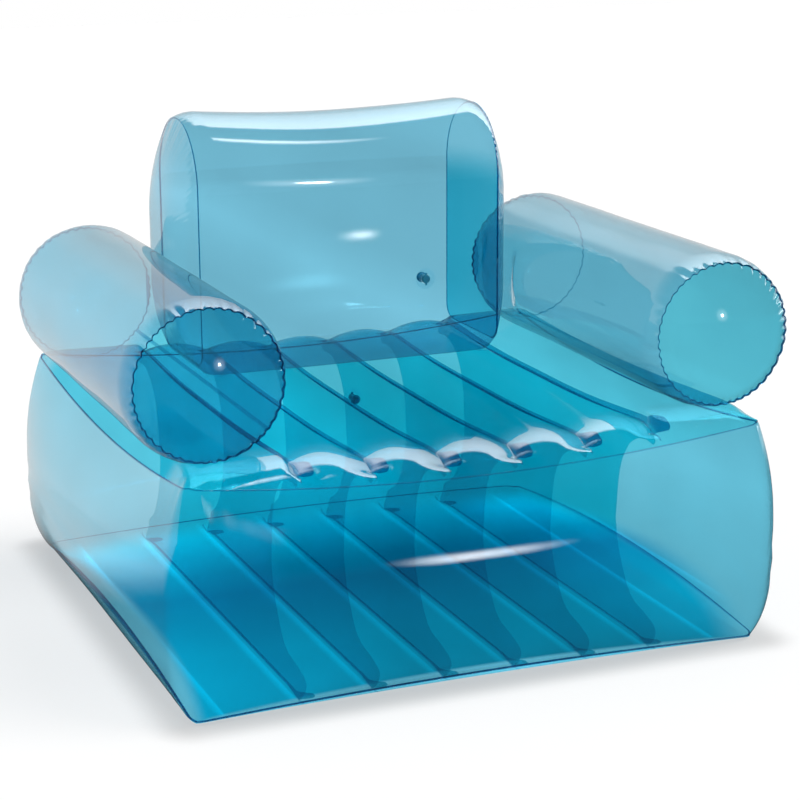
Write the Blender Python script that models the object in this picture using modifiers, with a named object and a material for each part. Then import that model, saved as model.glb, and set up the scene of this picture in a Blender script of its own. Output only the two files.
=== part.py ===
"""Inflatable pool chair of clear blue film.

A channelled seat cushion, a backrest cushion and two arm bolsters, each an air chamber
welded from separate sheets, with a filling valve in the seat and one in the backrest.
Metres, +Z up, the front towards -Y, the origin on the floor under the middle.
"""

import math

import bmesh
import bpy
from mathutils import Vector

# Film and welds
FILM = 0.00035  # thickness of the sheets
HEM = 0.006  # how far each sheet's welded edge turns into the chamber
SEAM_GAP = 0.0003  # between the two hems of a seam
GAP = 0.0003  # between other pieces that touch
MERGE = 0.00001  # points closer than this are one

# Seat cushion, at its seams
BASE_WIDTH = 1.0
BASE_DEPTH = 0.97
SEAM_HEIGHT = 0.382  # top seam, at the corners
TOP_SEAM_SAG = 0.033  # how much lower it runs between the corners
FOOT_SEAM_HEIGHT = 0.004  # bottom seam, at the corners
FOOT_SEAM_LIFT = 0.012  # how much higher it runs between the corners
CORNER_RADIUS = 0.045
WALL_BULGE = 0.058  # of the walls, halfway between the corners
CORNER_BULGE = 0.030
SHOULDER = 0.095  # width over which the top slopes down to its front and rear seams
FOOT_SHOULDER = 0.05  # the same round the underside
TOP_SEAM_LEAN = math.radians(20)  # the way out at the top seam, above level
FOOT_SEAM_LEAN = math.radians(-30)

# Channels of the seat and the webs under its weld lines
WEB_COUNT = 6
WEB_SPACING = 0.125
WEB_REACH = (WEB_COUNT - 1) / 2 * WEB_SPACING  # outermost web from the middle
WELD_DROP = 0.0235  # weld lines below the corners of the top seam
WELD_OUTER_RISE = 0.0125  # the outermost weld lines lie this much higher
WELD_END_RISE = 0.016  # weld lines rise this much towards their ends
CHANNEL_CROWN = 0.034
CROWN_END = 0.013  # the crown, where the channels flatten towards their ends
SIDE_CROWN = 0.055
NOTCH_START = 0.010  # the creases begin this far behind the seam
NOTCH_END = 0.034  # and have their full depth from here
WEB_TIP = 0.028  # hooks of the webs, behind the seam
WEB_HOLLOW = 0.162  # the free ends are hollowed this far back
WEB_FLANGE = 0.010
WEB_COLUMN_SHARES = (0.258, 0.485, 0.711, 0.856, 0.942)  # of half the depth
WELD_RISE_SHARES = ((0.258, 0.0), (0.485, 0.2), (0.856, 0.8), (0.942, 1.0))
HOLLOW_SHARES = ((0.0, 0.0), (0.1, 0.08), (0.25, 0.55), (0.5, 0.86), (1.0, 1.0))

# Grid lines of the seat's sheets, as shares of half the depth and of the side channel
ROW_SHARES = (0.052, 0.258, 0.485, 0.711, 0.856, 0.942, 0.975, 1.0)
SIDE_LINE_SHARES = (0.22, 0.45, 0.68, 0.86, 1.0)
WALL_ROW_SHARES = (0.0, 0.1, 0.3, 0.5, 0.7, 0.9, 1.0)
CHANNEL_STEPS = 4

# Arm bolsters
ARM_INSET = 0.056  # their middles, inside the seat's side seams
ARM_RADIUS = 0.131
ARM_SEAM_RADIUS = 0.122
ARM_SETBACK = 0.045  # front seam behind the seat's front seam
ARM_REAR_SETBACK = 0.17  # rear seam before the seat's rear seam
ARM_SPACING = BASE_WIDTH - 2 * ARM_INSET
ARM_LENGTH = BASE_DEPTH - ARM_SETBACK - ARM_REAR_SETBACK
ARM_CURL = 0.05  # length over which a sleeve draws in to its seam
ARM_PRESS = 0.006  # how far the underside is pressed flat
ARM_SIDE_PRESS = 0.017  # how far the backrest presses the inner side
ARM_REST = SEAM_HEIGHT + 0.020  # where the arms meet the seat
ARM_HEIGHT = ARM_REST + ARM_RADIUS - ARM_PRESS
CAP_BULGE = 0.045
ARM_SIDES = 24
ARM_ROW_SHARES = (0.0, 0.02, 0.066, 0.185, 0.344)  # of the length, from either end
CAP_RING_SHARES = (1.0, 0.88, 0.62, 0.3, 0.0)
ARM_PATCH_WIDTH = 0.080
ARM_PATCH_LENGTH = 0.23
ARM_PATCH_SETBACK = 0.17  # its front edge behind the seat's front seam
PATCH_CORNER = 0.032  # cut off each corner

# Backrest cushion
BACK_SIDE_CONTACT = 0.042  # its ends meet the arms this far outside the end seams
BACK_WIDTH = ARM_SPACING - 2 * (ARM_RADIUS - ARM_SIDE_PRESS + BACK_SIDE_CONTACT)
BACK_DEPTH = 0.24
BACK_HEIGHT = 0.434  # of the end seams
BACK_REAR_SETBACK = 0.13  # before the seat's rear seam
BACK_FRONT = BASE_DEPTH / 2 - BACK_REAR_SETBACK - BACK_DEPTH
BACK_REST = SEAM_HEIGHT + 0.016  # where the backrest meets the seat
BACK_FOOT_DROP = 0.015  # the underside bulges down this far to meet the seat
BACK_FOOT_RADIUS = 0.03
BACK_CURL = 0.04
BACK_SWELL = 0.012
BACK_FACE_BULGE = 0.026
BACK_TOP_SAG = 0.014
END_BULGE = 0.046
BACK_LINE_SHARES = (0.0, 0.31, 0.59, 0.83, 0.955, 1.0)  # of half the width
END_RING_SHARES = (1.0, 0.88, 0.62, 0.3, 0.0)
BACK_PATCH_MARGIN = 0.078  # inside the end seams
BACK_PATCH_DEPTH = 0.16

# Valves
VALVE_SIDES = 20
FLANGE_DIAMETER = 0.038
FLANGE_THICKNESS = 0.0008
COLLAR_DIAMETER = 0.021
COLLAR_HEIGHT = 0.0016
FILM_HOLE_DIAMETER = 0.018
STEM_DIAMETER = 0.016
STEM_BORE = 0.010
STEM_LENGTH = 0.022
STEM_CLEARANCE = 0.0003  # round the stem in its flange
LIP_DIAMETER = 0.019
LIP_THICKNESS = 0.002
LUG_THICKNESS = 0.0012
LUG_WIDTH = 0.005
HINGE_REACH = 0.009  # the tether's bend, from the stem's middle
LUG_OVERHANG = 0.002  # of the lug, past the bend
PLUG_DIAMETER = 0.015
PLUG_THICKNESS = 0.002
SHANK_TOP_DIAMETER = 0.0092
SHANK_END_DIAMETER = 0.0082
SHANK_LENGTH = 0.004
TETHER_WIDTH = 0.004
TETHER_THICKNESS = 0.0008
TAB_LENGTH = 0.004
FLAP_DIAMETER = 0.0125
FLAP_THICKNESS = 0.0005
FLAP_HINGE_REACH = 0.0078
VALVE_PROUD = COLLAR_HEIGHT + 2 * GAP + LUG_THICKNESS + GAP + PLUG_THICKNESS
SEAT_VALVE_SIDE = 0.155  # to the right of the middle
SEAT_VALVE_ROW = 3  # counted up the wall's grid
BACK_VALVE_ROW = 1  # counted up the straight part of the backrest's front
BACK_VALVE_COLUMN = 1  # counted from the middle to the right
CUTTER_LENGTH = 0.02

BLUE = (0.01, 0.30, 0.50, 1.0)
DEEP_BLUE = (0.0, 0.14, 0.34, 1.0)

WIDE = BASE_WIDTH / 2
DEEP = BASE_DEPTH / 2
UP = Vector((0, 0, 1))


def clear_scene():
    for old in list(bpy.data.objects):
        bpy.data.objects.remove(old, do_unlink=True)


def collection(name):
    group = bpy.data.collections.new(name)
    bpy.context.scene.collection.children.link(group)
    return group


def film_material(name, colour, transmission):
    material = bpy.data.materials.new(name)
    material.use_nodes = True
    shader = material.node_tree.nodes["Principled BSDF"]
    shader.inputs["Base Color"].default_value = colour
    shader.inputs["Roughness"].default_value = 0.06
    shader.inputs["Metallic"].default_value = 0.0
    shader.inputs["Transmission Weight"].default_value = transmission
    return material


def add_object(name, data, group, parent=None):
    made = bpy.data.objects.new(name, data)
    group.objects.link(made)
    made.parent = parent
    return made


def between(low, high, share):
    return low + (high - low) * share


def along_table(table, value):
    """Reads a table of (place, value) pairs, in straight runs, level past its ends."""
    if value <= table[0][0]:
        return table[0][1]
    for (near, low), (far, high) in zip(table, table[1:]):
        if value <= far:
            return between(low, high, (value - near) / (far - near))
    return table[-1][1]


def rounded(distance, width):
    """Rises from 0 to 1 over a width, steep at first, as a quarter of an ellipse."""
    short = 1 - min(max(distance / width, 0), 1)
    return math.sqrt(1 - short * short)


def sheet(name, columns, rows, place, group, flipped=False, centred=False):
    """A sheet of film whose grid points lie where place(column, row) says."""
    bm = bmesh.new()
    bmesh.ops.create_grid(bm, x_segments=columns, y_segments=rows, size=0.5)
    for vertex in bm.verts:
        column = round((vertex.co.x + 0.5) * columns)
        row = round((vertex.co.y + 0.5) * rows)
        vertex.co = place(column, row)
    bmesh.ops.remove_doubles(bm, verts=bm.verts, dist=MERGE)
    if flipped:
        bmesh.ops.reverse_faces(bm, faces=bm.faces)
    mesh = bpy.data.meshes.new(name)
    bm.to_mesh(mesh)
    bm.free()
    mesh.shade_smooth()
    made = add_object(name, mesh, group)
    mesh.materials.append(film_material(name + "_film", BLUE, 0.9))
    wall = made.modifiers.new("film", "SOLIDIFY")
    wall.thickness = FILM
    wall.offset = 0 if centred else -1
    wall.use_even_offset = True
    return made


def welded_edge(seam, own_way, other_way, depth):
    """A point on a sheet's edge at a seam, or depth down its hem, clear of the other sheet."""
    clear = (own_way - other_way).normalized() * SEAM_GAP / 2
    return seam + clear - (own_way + other_way).normalized() * depth


def seam_ways(outward, lean):
    """The ways from a level seam to the sheet above it and to the one below."""
    quarter = math.radians(45)
    upper = outward * math.cos(lean + quarter) + UP * math.sin(lean + quarter)
    lower = outward * math.cos(lean - quarter) + UP * math.sin(lean - quarter)
    return upper, lower


def base_plan(u, v):
    """Where a share of the half width and half depth lies, and the way out there."""
    x, y = u * WIDE, v * DEEP
    over_x = abs(x) - (WIDE - CORNER_RADIUS)
    over_y = abs(y) - (DEEP - CORNER_RADIUS)
    if over_x > 0 and over_y > 0:
        reach = math.hypot(over_x, over_y)
        shrink = max(over_x, over_y) / reach
        x = math.copysign(WIDE - CORNER_RADIUS + over_x * shrink, x)
        y = math.copysign(DEEP - CORNER_RADIUS + over_y * shrink, y)
        outward = Vector((math.copysign(over_x, x), math.copysign(over_y, y), 0)) / reach
    elif abs(u) > abs(v):
        outward = Vector((math.copysign(1, u), 0, 0))
    else:
        outward = Vector((0, math.copysign(1, v), 0))
    return x, y, outward


def corner_share(u, v):
    """0 halfway along a side of the base, 1 at a corner."""
    low, high = sorted((abs(u), abs(v)))
    return low / high if high else 0


def top_seam_height(u, v):
    return SEAM_HEIGHT - TOP_SEAM_SAG * (1 - corner_share(u, v) ** 2)


def foot_seam_height(u, v):
    return FOOT_SEAM_HEIGHT + FOOT_SEAM_LIFT * (1 - corner_share(u, v) ** 2)


def wall_bulge(u, v):
    return between(WALL_BULGE, CORNER_BULGE, corner_share(u, v) ** 3)


def weld_height(x, v):
    outer = min(abs(x) / WEB_REACH, 1) ** 2
    end = along_table(WELD_RISE_SHARES, abs(v))
    return SEAM_HEIGHT - WELD_DROP + WELD_OUTER_RISE * outer + WELD_END_RISE * end


def seat_height(x, y, u, v):
    """Height of the seat's upper surface."""
    edge = top_seam_height(u, v)
    behind_seam = DEEP - abs(y)
    crease = min(max((behind_seam - NOTCH_START) / (NOTCH_END - NOTCH_START), 0), 1)
    crown = between(CHANNEL_CROWN, CROWN_END, along_table(WELD_RISE_SHARES, abs(v)))
    if abs(x) < WEB_REACH + MERGE:
        across = (x + WEB_REACH) / WEB_SPACING % 1
        arch = 4 * across * (1 - across)
        body = weld_height(x, v) + crown * (1 - (1 - arch) * crease)
    else:
        across = (abs(x) - WEB_REACH) / (WIDE - WEB_REACH)
        arch = 1 - abs(2 * across - 1) ** 3
        inner = weld_height(x, v) + crown * (1 - crease)
        body = between(inner, top_seam_height(1, v), across) + SIDE_CROWN * arch
        body = min(body, ARM_REST - FILM / 2 - GAP)
    short = 1 - min(behind_seam / SHOULDER, 1)
    height = edge + (1 - short**2) * (body - edge)
    under_back = BACK_FRONT < y < BACK_FRONT + BACK_DEPTH and abs(x) < BACK_WIDTH / 2
    return min(height, BACK_REST - FILM / 2 - GAP) if under_back else height


def seat_lines(steps):
    """Grid lines across the seat, with so many steps a channel, and from front to rear."""
    channel = WEB_SPACING / steps
    across = [n * channel - WEB_REACH for n in range((WEB_COUNT - 1) * steps + 1)]
    side = [between(WEB_REACH, WIDE, share) for share in SIDE_LINE_SHARES]
    across = [-x for x in reversed(side)] + across + side
    along = [-share for share in reversed(ROW_SHARES)] + list(ROW_SHARES)
    return [x / WIDE for x in across], along


def base_panel(name, steps, height, lean, upper_sheet, group):
    """The top or bottom sheet of the seat, with its hem all round."""
    across, along = seat_lines(steps)
    columns, rows = len(across) + 1, len(along) + 1

    def place(column, row):
        inner_column = min(max(column - 1, 0), columns - 2)
        inner_row = min(max(row - 1, 0), rows - 2)
        u, v = across[inner_column], along[inner_row]
        x, y, outward = base_plan(u, v)
        if max(abs(u), abs(v)) < 1:
            return Vector((x, y, height(x, y, u, v)))
        seam = top_seam_height(u, v) if upper_sheet else foot_seam_height(u, v)
        upper, lower = seam_ways(outward, lean)
        own, other = (upper, lower) if upper_sheet else (lower, upper)
        depth = HEM if (inner_column, inner_row) != (column - 1, row - 1) else 0
        return welded_edge(Vector((x, y, seam)), own, other, depth)

    return sheet(name, columns, rows, place, group, flipped=not upper_sheet)


def underside_height(x, y, u, v):
    inset = min(WIDE - abs(x), DEEP - abs(y))
    return foot_seam_height(u, v) * (1 - rounded(inset, FOOT_SHOULDER))


def rim_stations():
    """Shares of the half width and half depth round the base, from the front left corner."""
    across, along = seat_lines(CHANNEL_STEPS // 2)
    front = [(u, -1.0) for u in across[:-1]]
    right = [(1.0, v) for v in along[:-1]]
    rear = [(u, 1.0) for u in reversed(across[1:])]
    left = [(-1.0, v) for v in reversed(along[1:])]
    return front + right + rear + left


def seat_valve_column(stations):
    """The cell of the rear wall that holds the valve."""
    count = len(stations)

    def off(column):
        (u, v), (next_u, next_v) = stations[column], stations[(column + 1) % count]
        on_rear = v == next_v == 1.0
        return abs((u + next_u) / 2 * WIDE - SEAT_VALVE_SIDE) if on_rear else BASE_WIDTH

    return min(range(count), key=off)


def make_side_band(group):
    """The wall round the seat. Returns it with the place of its valve."""
    stations = rim_stations()
    count = len(stations)
    valve_column = seat_valve_column(stations)
    valve_columns = (valve_column, (valve_column + 1) % count)
    valve_rows = (SEAT_VALVE_ROW, SEAT_VALVE_ROW + 1)
    valve_plane = DEEP + WALL_BULGE - VALVE_PROUD

    def place(column, row):
        column %= count
        wall_row = min(max(row - 1, 0), len(WALL_ROW_SHARES) - 1)
        u, v = stations[column]
        x, y, outward = base_plan(u, v)
        low, high = foot_seam_height(u, v), top_seam_height(u, v)
        share = WALL_ROW_SHARES[wall_row]
        point = Vector((x, y, between(low, high, share)))
        hem = HEM if wall_row != row - 1 else 0
        if share == 0:
            upper, lower = seam_ways(outward, FOOT_SEAM_LEAN)
            return welded_edge(point, upper, lower, hem)
        if share == 1:
            upper, lower = seam_ways(outward, TOP_SEAM_LEAN)
            return welded_edge(point, lower, upper, hem)
        point += outward * wall_bulge(u, v) * (1 - abs(2 * share - 1) ** 2.2)
        if column in valve_columns and wall_row in valve_rows:
            point.y = valve_plane
        return point

    band = sheet("seat_side_band", count, len(WALL_ROW_SHARES) + 1, place, group)
    corners = [place(c, r + 1) for c in valve_columns for r in valve_rows]
    return band, sum(corners, Vector()) / len(corners)


def make_web(number, group):
    """A sheet that ties top to bottom: hollowed free ends, hooks and a weld flange at each edge."""
    x = (number - 1) * WEB_SPACING - WEB_REACH
    shares = [-share for share in reversed(WEB_COLUMN_SHARES)] + list(WEB_COLUMN_SHARES)
    last_run = SIDE_LINE_SHARES[0] * (WIDE - WEB_REACH)
    run = WEB_SPACING / CHANNEL_STEPS if number < WEB_COUNT else last_run
    tip = WEB_COLUMN_SHARES[-1] * DEEP
    depths = [share for share, _ in HOLLOW_SHARES]
    levels = depths[:-1] + [2 - share for share in reversed(depths)]
    columns = []
    slopes = []
    for v in shares:
        y = v * DEEP
        weld = seat_height(x, y, x / WIDE, v)
        slope = (seat_height(x + run, y, (x + run) / WIDE, v) - weld) / run
        top = weld - 1.5 * FILM * math.hypot(slope, 1) - GAP
        floor = underside_height(x, y, x / WIDE, v) + 1.5 * FILM + GAP
        columns.append((y, floor, top))
        slopes.append(slope)

    def place(column, row):
        y, floor, top = columns[column]
        slope = min(slopes[max(column - 1, 0) : column + 2])
        level = levels[min(max(row - 1, 0), len(levels) - 1)]
        depth_share = level if level <= 1 else 2 - level
        hollow = (WEB_HOLLOW - WEB_TIP) * along_table(HOLLOW_SHARES, depth_share)
        point = Vector((x, y * (tip - hollow) / tip, between(floor, top, level / 2)))
        if row == 0:
            point.x += WEB_FLANGE
        if row > len(levels):
            point += Vector((WEB_FLANGE, 0, WEB_FLANGE * slope))
        return point

    name = f"seat_web_{number}"
    return sheet(name, len(columns) - 1, len(levels) + 1, place, group, centred=True)


def arm_middle(side):
    return Vector((side * ARM_SPACING / 2, ARM_SETBACK - DEEP + ARM_LENGTH / 2, ARM_HEIGHT))


def arm_ring(side, end, column):
    """A point of an arm's end seam with the ways out round it and along the arm."""
    angle = math.tau * (column % ARM_SIDES) / ARM_SIDES
    radial = Vector((math.cos(angle), 0, math.sin(angle)))
    axial = Vector((0, end, 0))
    seam = arm_middle(side) + radial * ARM_SEAM_RADIUS + axial * ARM_LENGTH / 2
    return seam, radial, axial


def make_sleeve(word, side, group):
    """The tube of an arm, pressed flat on the seat and where the backrest bears on it."""
    shares = list(ARM_ROW_SHARES) + [1 - share for share in reversed(ARM_ROW_SHARES)]
    middle = arm_middle(side)
    lowest = ARM_REST + FILM / 2 + GAP
    contact = BACK_WIDTH / 2 + BACK_SIDE_CONTACT + GAP

    def place(column, row):
        inner = min(max(row - 1, 0), len(shares) - 1)
        share = shares[inner]
        if share in (0, 1):
            seam, radial, axial = arm_ring(side, 2 * share - 1, column)
            return welded_edge(seam, radial, axial, HEM if inner != row - 1 else 0)
        angle = math.tau * (column % ARM_SIDES) / ARM_SIDES
        from_end = min(share, 1 - share) * ARM_LENGTH
        curl = 1 - (1 - min(from_end / ARM_CURL, 1)) ** 2
        radius = between(ARM_SEAM_RADIUS, ARM_RADIUS, curl)
        point = Vector((math.cos(angle) * radius, (share - 0.5) * ARM_LENGTH, math.sin(angle) * radius))
        point += middle
        point.z = max(point.z, lowest)
        if point.y > BACK_FRONT:
            point.x = side * max(side * point.x, contact)
        return point

    rows = len(shares) + 1
    return sheet(f"{word}_arm_sleeve", ARM_SIDES, rows, place, group, flipped=True)


def dome(name, count, ring, peak, bulge, ring_shares, group, flipped, limit=None):
    """A round end sheet: its hem, then rings drawn in to the peak."""

    def place(column, row):
        seam, side_way, end_way = ring(column)
        if row < 2:
            return welded_edge(seam, end_way, side_way, HEM if row == 0 else 0)
        share = ring_shares[row - 1]
        point = peak + (seam - peak) * share + end_way * bulge * (1 - share**2.4)
        return limit(point) if limit else point

    return sheet(name, count, len(ring_shares), place, group, flipped=flipped)


def make_arm_cap(word, side, end_word, end, group):
    peak = arm_middle(side) + Vector((0, end * ARM_LENGTH / 2, 0))
    return dome(
        f"{word}_arm_{end_word}_cap",
        ARM_SIDES,
        lambda column: arm_ring(side, end, column),
        peak,
        CAP_BULGE,
        CAP_RING_SHARES,
        group,
        flipped=end > 0,
    )


def make_patch(name, middle, width, depth, group):
    """A flat welded patch with its corners cut off."""
    half_width, half_depth = width / 2, depth / 2
    corner = PATCH_CORNER
    outline = []
    for turn_x, turn_y in ((1, 1), (-1, 1), (-1, -1), (1, -1)):
        along = (turn_x * (half_width - corner), turn_y * half_depth)
        beside = (turn_x * half_width, turn_y * (half_depth - corner))
        outline += [beside, along] if turn_x == turn_y else [along, beside]
    curve = bpy.data.curves.new(name, "CURVE")
    curve.dimensions = "2D"
    curve.fill_mode = "BOTH"
    curve.extrude = FILM / 2
    spline = curve.splines.new("POLY")
    spline.points.add(len(outline) - 1)
    for point, (x, y) in zip(spline.points, outline):
        point.co = (x, y, 0, 1)
    spline.use_cyclic_u = True
    curve.materials.append(film_material(name + "_film", BLUE, 0.9))
    patch = add_object(name, curve, group)
    patch.location = middle
    return patch


def back_outline():
    """The end seam's outline in Y and Z: points with the ways out, from the front foot corner."""
    front = BACK_FRONT
    rear = front + BACK_DEPTH
    foot = BACK_REST + BACK_FOOT_DROP
    top_radius = BACK_DEPTH / 2
    spring = foot + BACK_HEIGHT - top_radius
    radius = BACK_FOOT_RADIUS
    stations = []

    def arc(middle_y, middle_z, arc_radius, start, end, steps):
        for n in range(steps):
            angle = math.radians(between(start, end, n / steps))
            way = Vector((0, math.cos(angle), math.sin(angle)))
            stations.append((Vector((0, middle_y, middle_z)) + way * arc_radius, way, "corner"))

    def run(start, end, way, steps, kind):
        for n in range(steps):
            stations.append((start.lerp(end, n / steps), way, kind))

    low, high = foot + radius, spring
    arc(front + radius, foot + radius, radius, 270, 180, 3)
    run(Vector((0, front, low)), Vector((0, front, high)), Vector((0, -1, 0)), 4, "face")
    arc((front + rear) / 2, spring, top_radius, 180, 0, 10)
    run(Vector((0, rear, high)), Vector((0, rear, low)), Vector((0, 1, 0)), 4, "face")
    arc(rear - radius, foot + radius, radius, 0, -90, 3)
    run(Vector((0, rear - radius, foot)), Vector((0, front + radius, foot)), -UP, 4, "foot")
    return stations


def back_swell(point, way, kind, x):
    """How far the backrest's skin stands out from the end seam's outline at a distance across."""
    half = BACK_WIDTH / 2
    curl = 1 - (1 - min((half - abs(x)) / BACK_CURL, 1)) ** 2
    middle = 1 - (x / half) ** 2
    foot = BACK_REST + BACK_FOOT_DROP
    up_share = min(max((point.z - foot) / BACK_HEIGHT, 0), 1)
    face = BACK_FACE_BULGE * middle * math.sin(math.pi * up_share) * abs(way.y)
    sag = BACK_TOP_SAG * middle * max(way.z, 0) ** 2
    foot_push = BACK_FOOT_DROP * curl if kind == "foot" else 0
    return BACK_SWELL * curl + face - sag + foot_push


def make_backrest_wrap(group):
    """The strip over the front, top, back and underside. Returns it with its valve's place."""
    half = BACK_WIDTH / 2
    lines = [-s for s in reversed(BACK_LINE_SHARES[1:])] + list(BACK_LINE_SHARES)
    stations = back_outline()
    count = len(stations)
    first_face = next(n for n, station in enumerate(stations) if station[2] == "face")
    valve_stations = (first_face + BACK_VALVE_ROW, first_face + BACK_VALVE_ROW + 1)
    middle_line = len(BACK_LINE_SHARES) - 1
    valve_lines = (middle_line + BACK_VALVE_COLUMN, middle_line + BACK_VALVE_COLUMN + 1)
    lowest = BACK_REST + FILM / 2 + GAP

    def natural(column, line):
        seam, way, kind = stations[column]
        x = lines[line] * half
        point = seam + Vector((x, 0, 0)) + way * back_swell(seam, way, kind, x)
        point.z = max(point.z, lowest)
        return point

    cell = [natural(c, line) for c in valve_stations for line in valve_lines]
    valve = sum(cell, Vector()) / len(cell)

    def place(column, row):
        column %= count
        line = min(max(row - 1, 0), len(lines) - 1)
        if line in (0, len(lines) - 1):
            seam, way, _ = stations[column]
            side = lines[line]
            seam = seam + Vector((side * half, 0, 0))
            depth = HEM if line != row - 1 else 0
            return welded_edge(seam, way, Vector((side, 0, 0)), depth)
        point = natural(column, line)
        if column in valve_stations and line in valve_lines:
            point.y = valve.y
        return point

    wrap = sheet("backrest_wrap", count, len(lines) + 1, place, group, flipped=True)
    return wrap, valve


def make_backrest_end(word, side, group):
    half = BACK_WIDTH / 2
    stations = back_outline()
    middle_z = BACK_REST + BACK_FOOT_DROP + BACK_HEIGHT / 2
    peak = Vector((side * half, BACK_FRONT + BACK_DEPTH / 2, middle_z))
    contact = half + BACK_SIDE_CONTACT - GAP

    def ring(column):
        seam, way, _ = stations[column % len(stations)]
        return seam + Vector((side * half, 0, 0)), way, Vector((side, 0, 0))

    def limit(point):
        return Vector((side * min(side * point.x, contact), point.y, point.z))

    name = f"backrest_{word}_end"
    shares = END_RING_SHARES
    return dome(name, len(stations), ring, peak, END_BULGE, shares, group, side > 0, limit)


def turned(name, profile, closed, group, parent, colour=DEEP_BLUE):
    """A turned piece from (radius, height) points that run down its outer side."""
    mesh = bpy.data.meshes.new(name)
    edges = [(n, n + 1) for n in range(len(profile) - 1)]
    if closed:
        edges.append((len(profile) - 1, 0))
    mesh.from_pydata([(radius, 0, height) for radius, height in profile], edges, [])
    mesh.materials.append(film_material(name + "_vinyl", colour, 0.5))
    made = add_object(name, mesh, group, parent)
    screw = made.modifiers.new("turn", "SCREW")
    screw.steps = screw.render_steps = VALVE_SIDES
    screw.use_merge_vertices = True
    screw.merge_threshold = MERGE
    return made


def tool_box(name, low, high, tools, parent):
    """A box between two corners, used only as a Boolean tool."""
    bm = bmesh.new()
    bmesh.ops.create_cube(bm, size=1)
    low, high = Vector(low), Vector(high)
    for vertex in bm.verts:
        share = vertex.co + Vector((0.5, 0.5, 0.5))
        vertex.co = low + Vector(a * b for a, b in zip(share, high - low))
    mesh = bpy.data.meshes.new(name)
    bm.to_mesh(mesh)
    bm.free()
    made = add_object(name, mesh, tools, parent)
    made.hide_render = True
    made.display_type = "WIRE"
    return made


def boolean(target, tool, operation):
    modifier = target.modifiers.new(tool.name, "BOOLEAN")
    modifier.operation = operation
    modifier.solver = "EXACT"
    modifier.object = tool


def cut_film_hole(wall, seat, name, tools):
    """The hole in the film under a valve's flange."""
    bm = bmesh.new()
    radius = FILM_HOLE_DIAMETER / 2
    bmesh.ops.create_cone(
        bm,
        cap_ends=True,
        segments=VALVE_SIDES,
        radius1=radius,
        radius2=radius,
        depth=CUTTER_LENGTH,
    )
    mesh = bpy.data.meshes.new(name)
    bm.to_mesh(mesh)
    bm.free()
    cutter = add_object(name, mesh, tools, seat)
    cutter.hide_render = True
    cutter.display_type = "WIRE"
    boolean(wall, cutter, "DIFFERENCE")


def hinge_empty(name, place, group, parent):
    empty = add_object(name, None, group, parent)
    empty.location = place
    return empty


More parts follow.
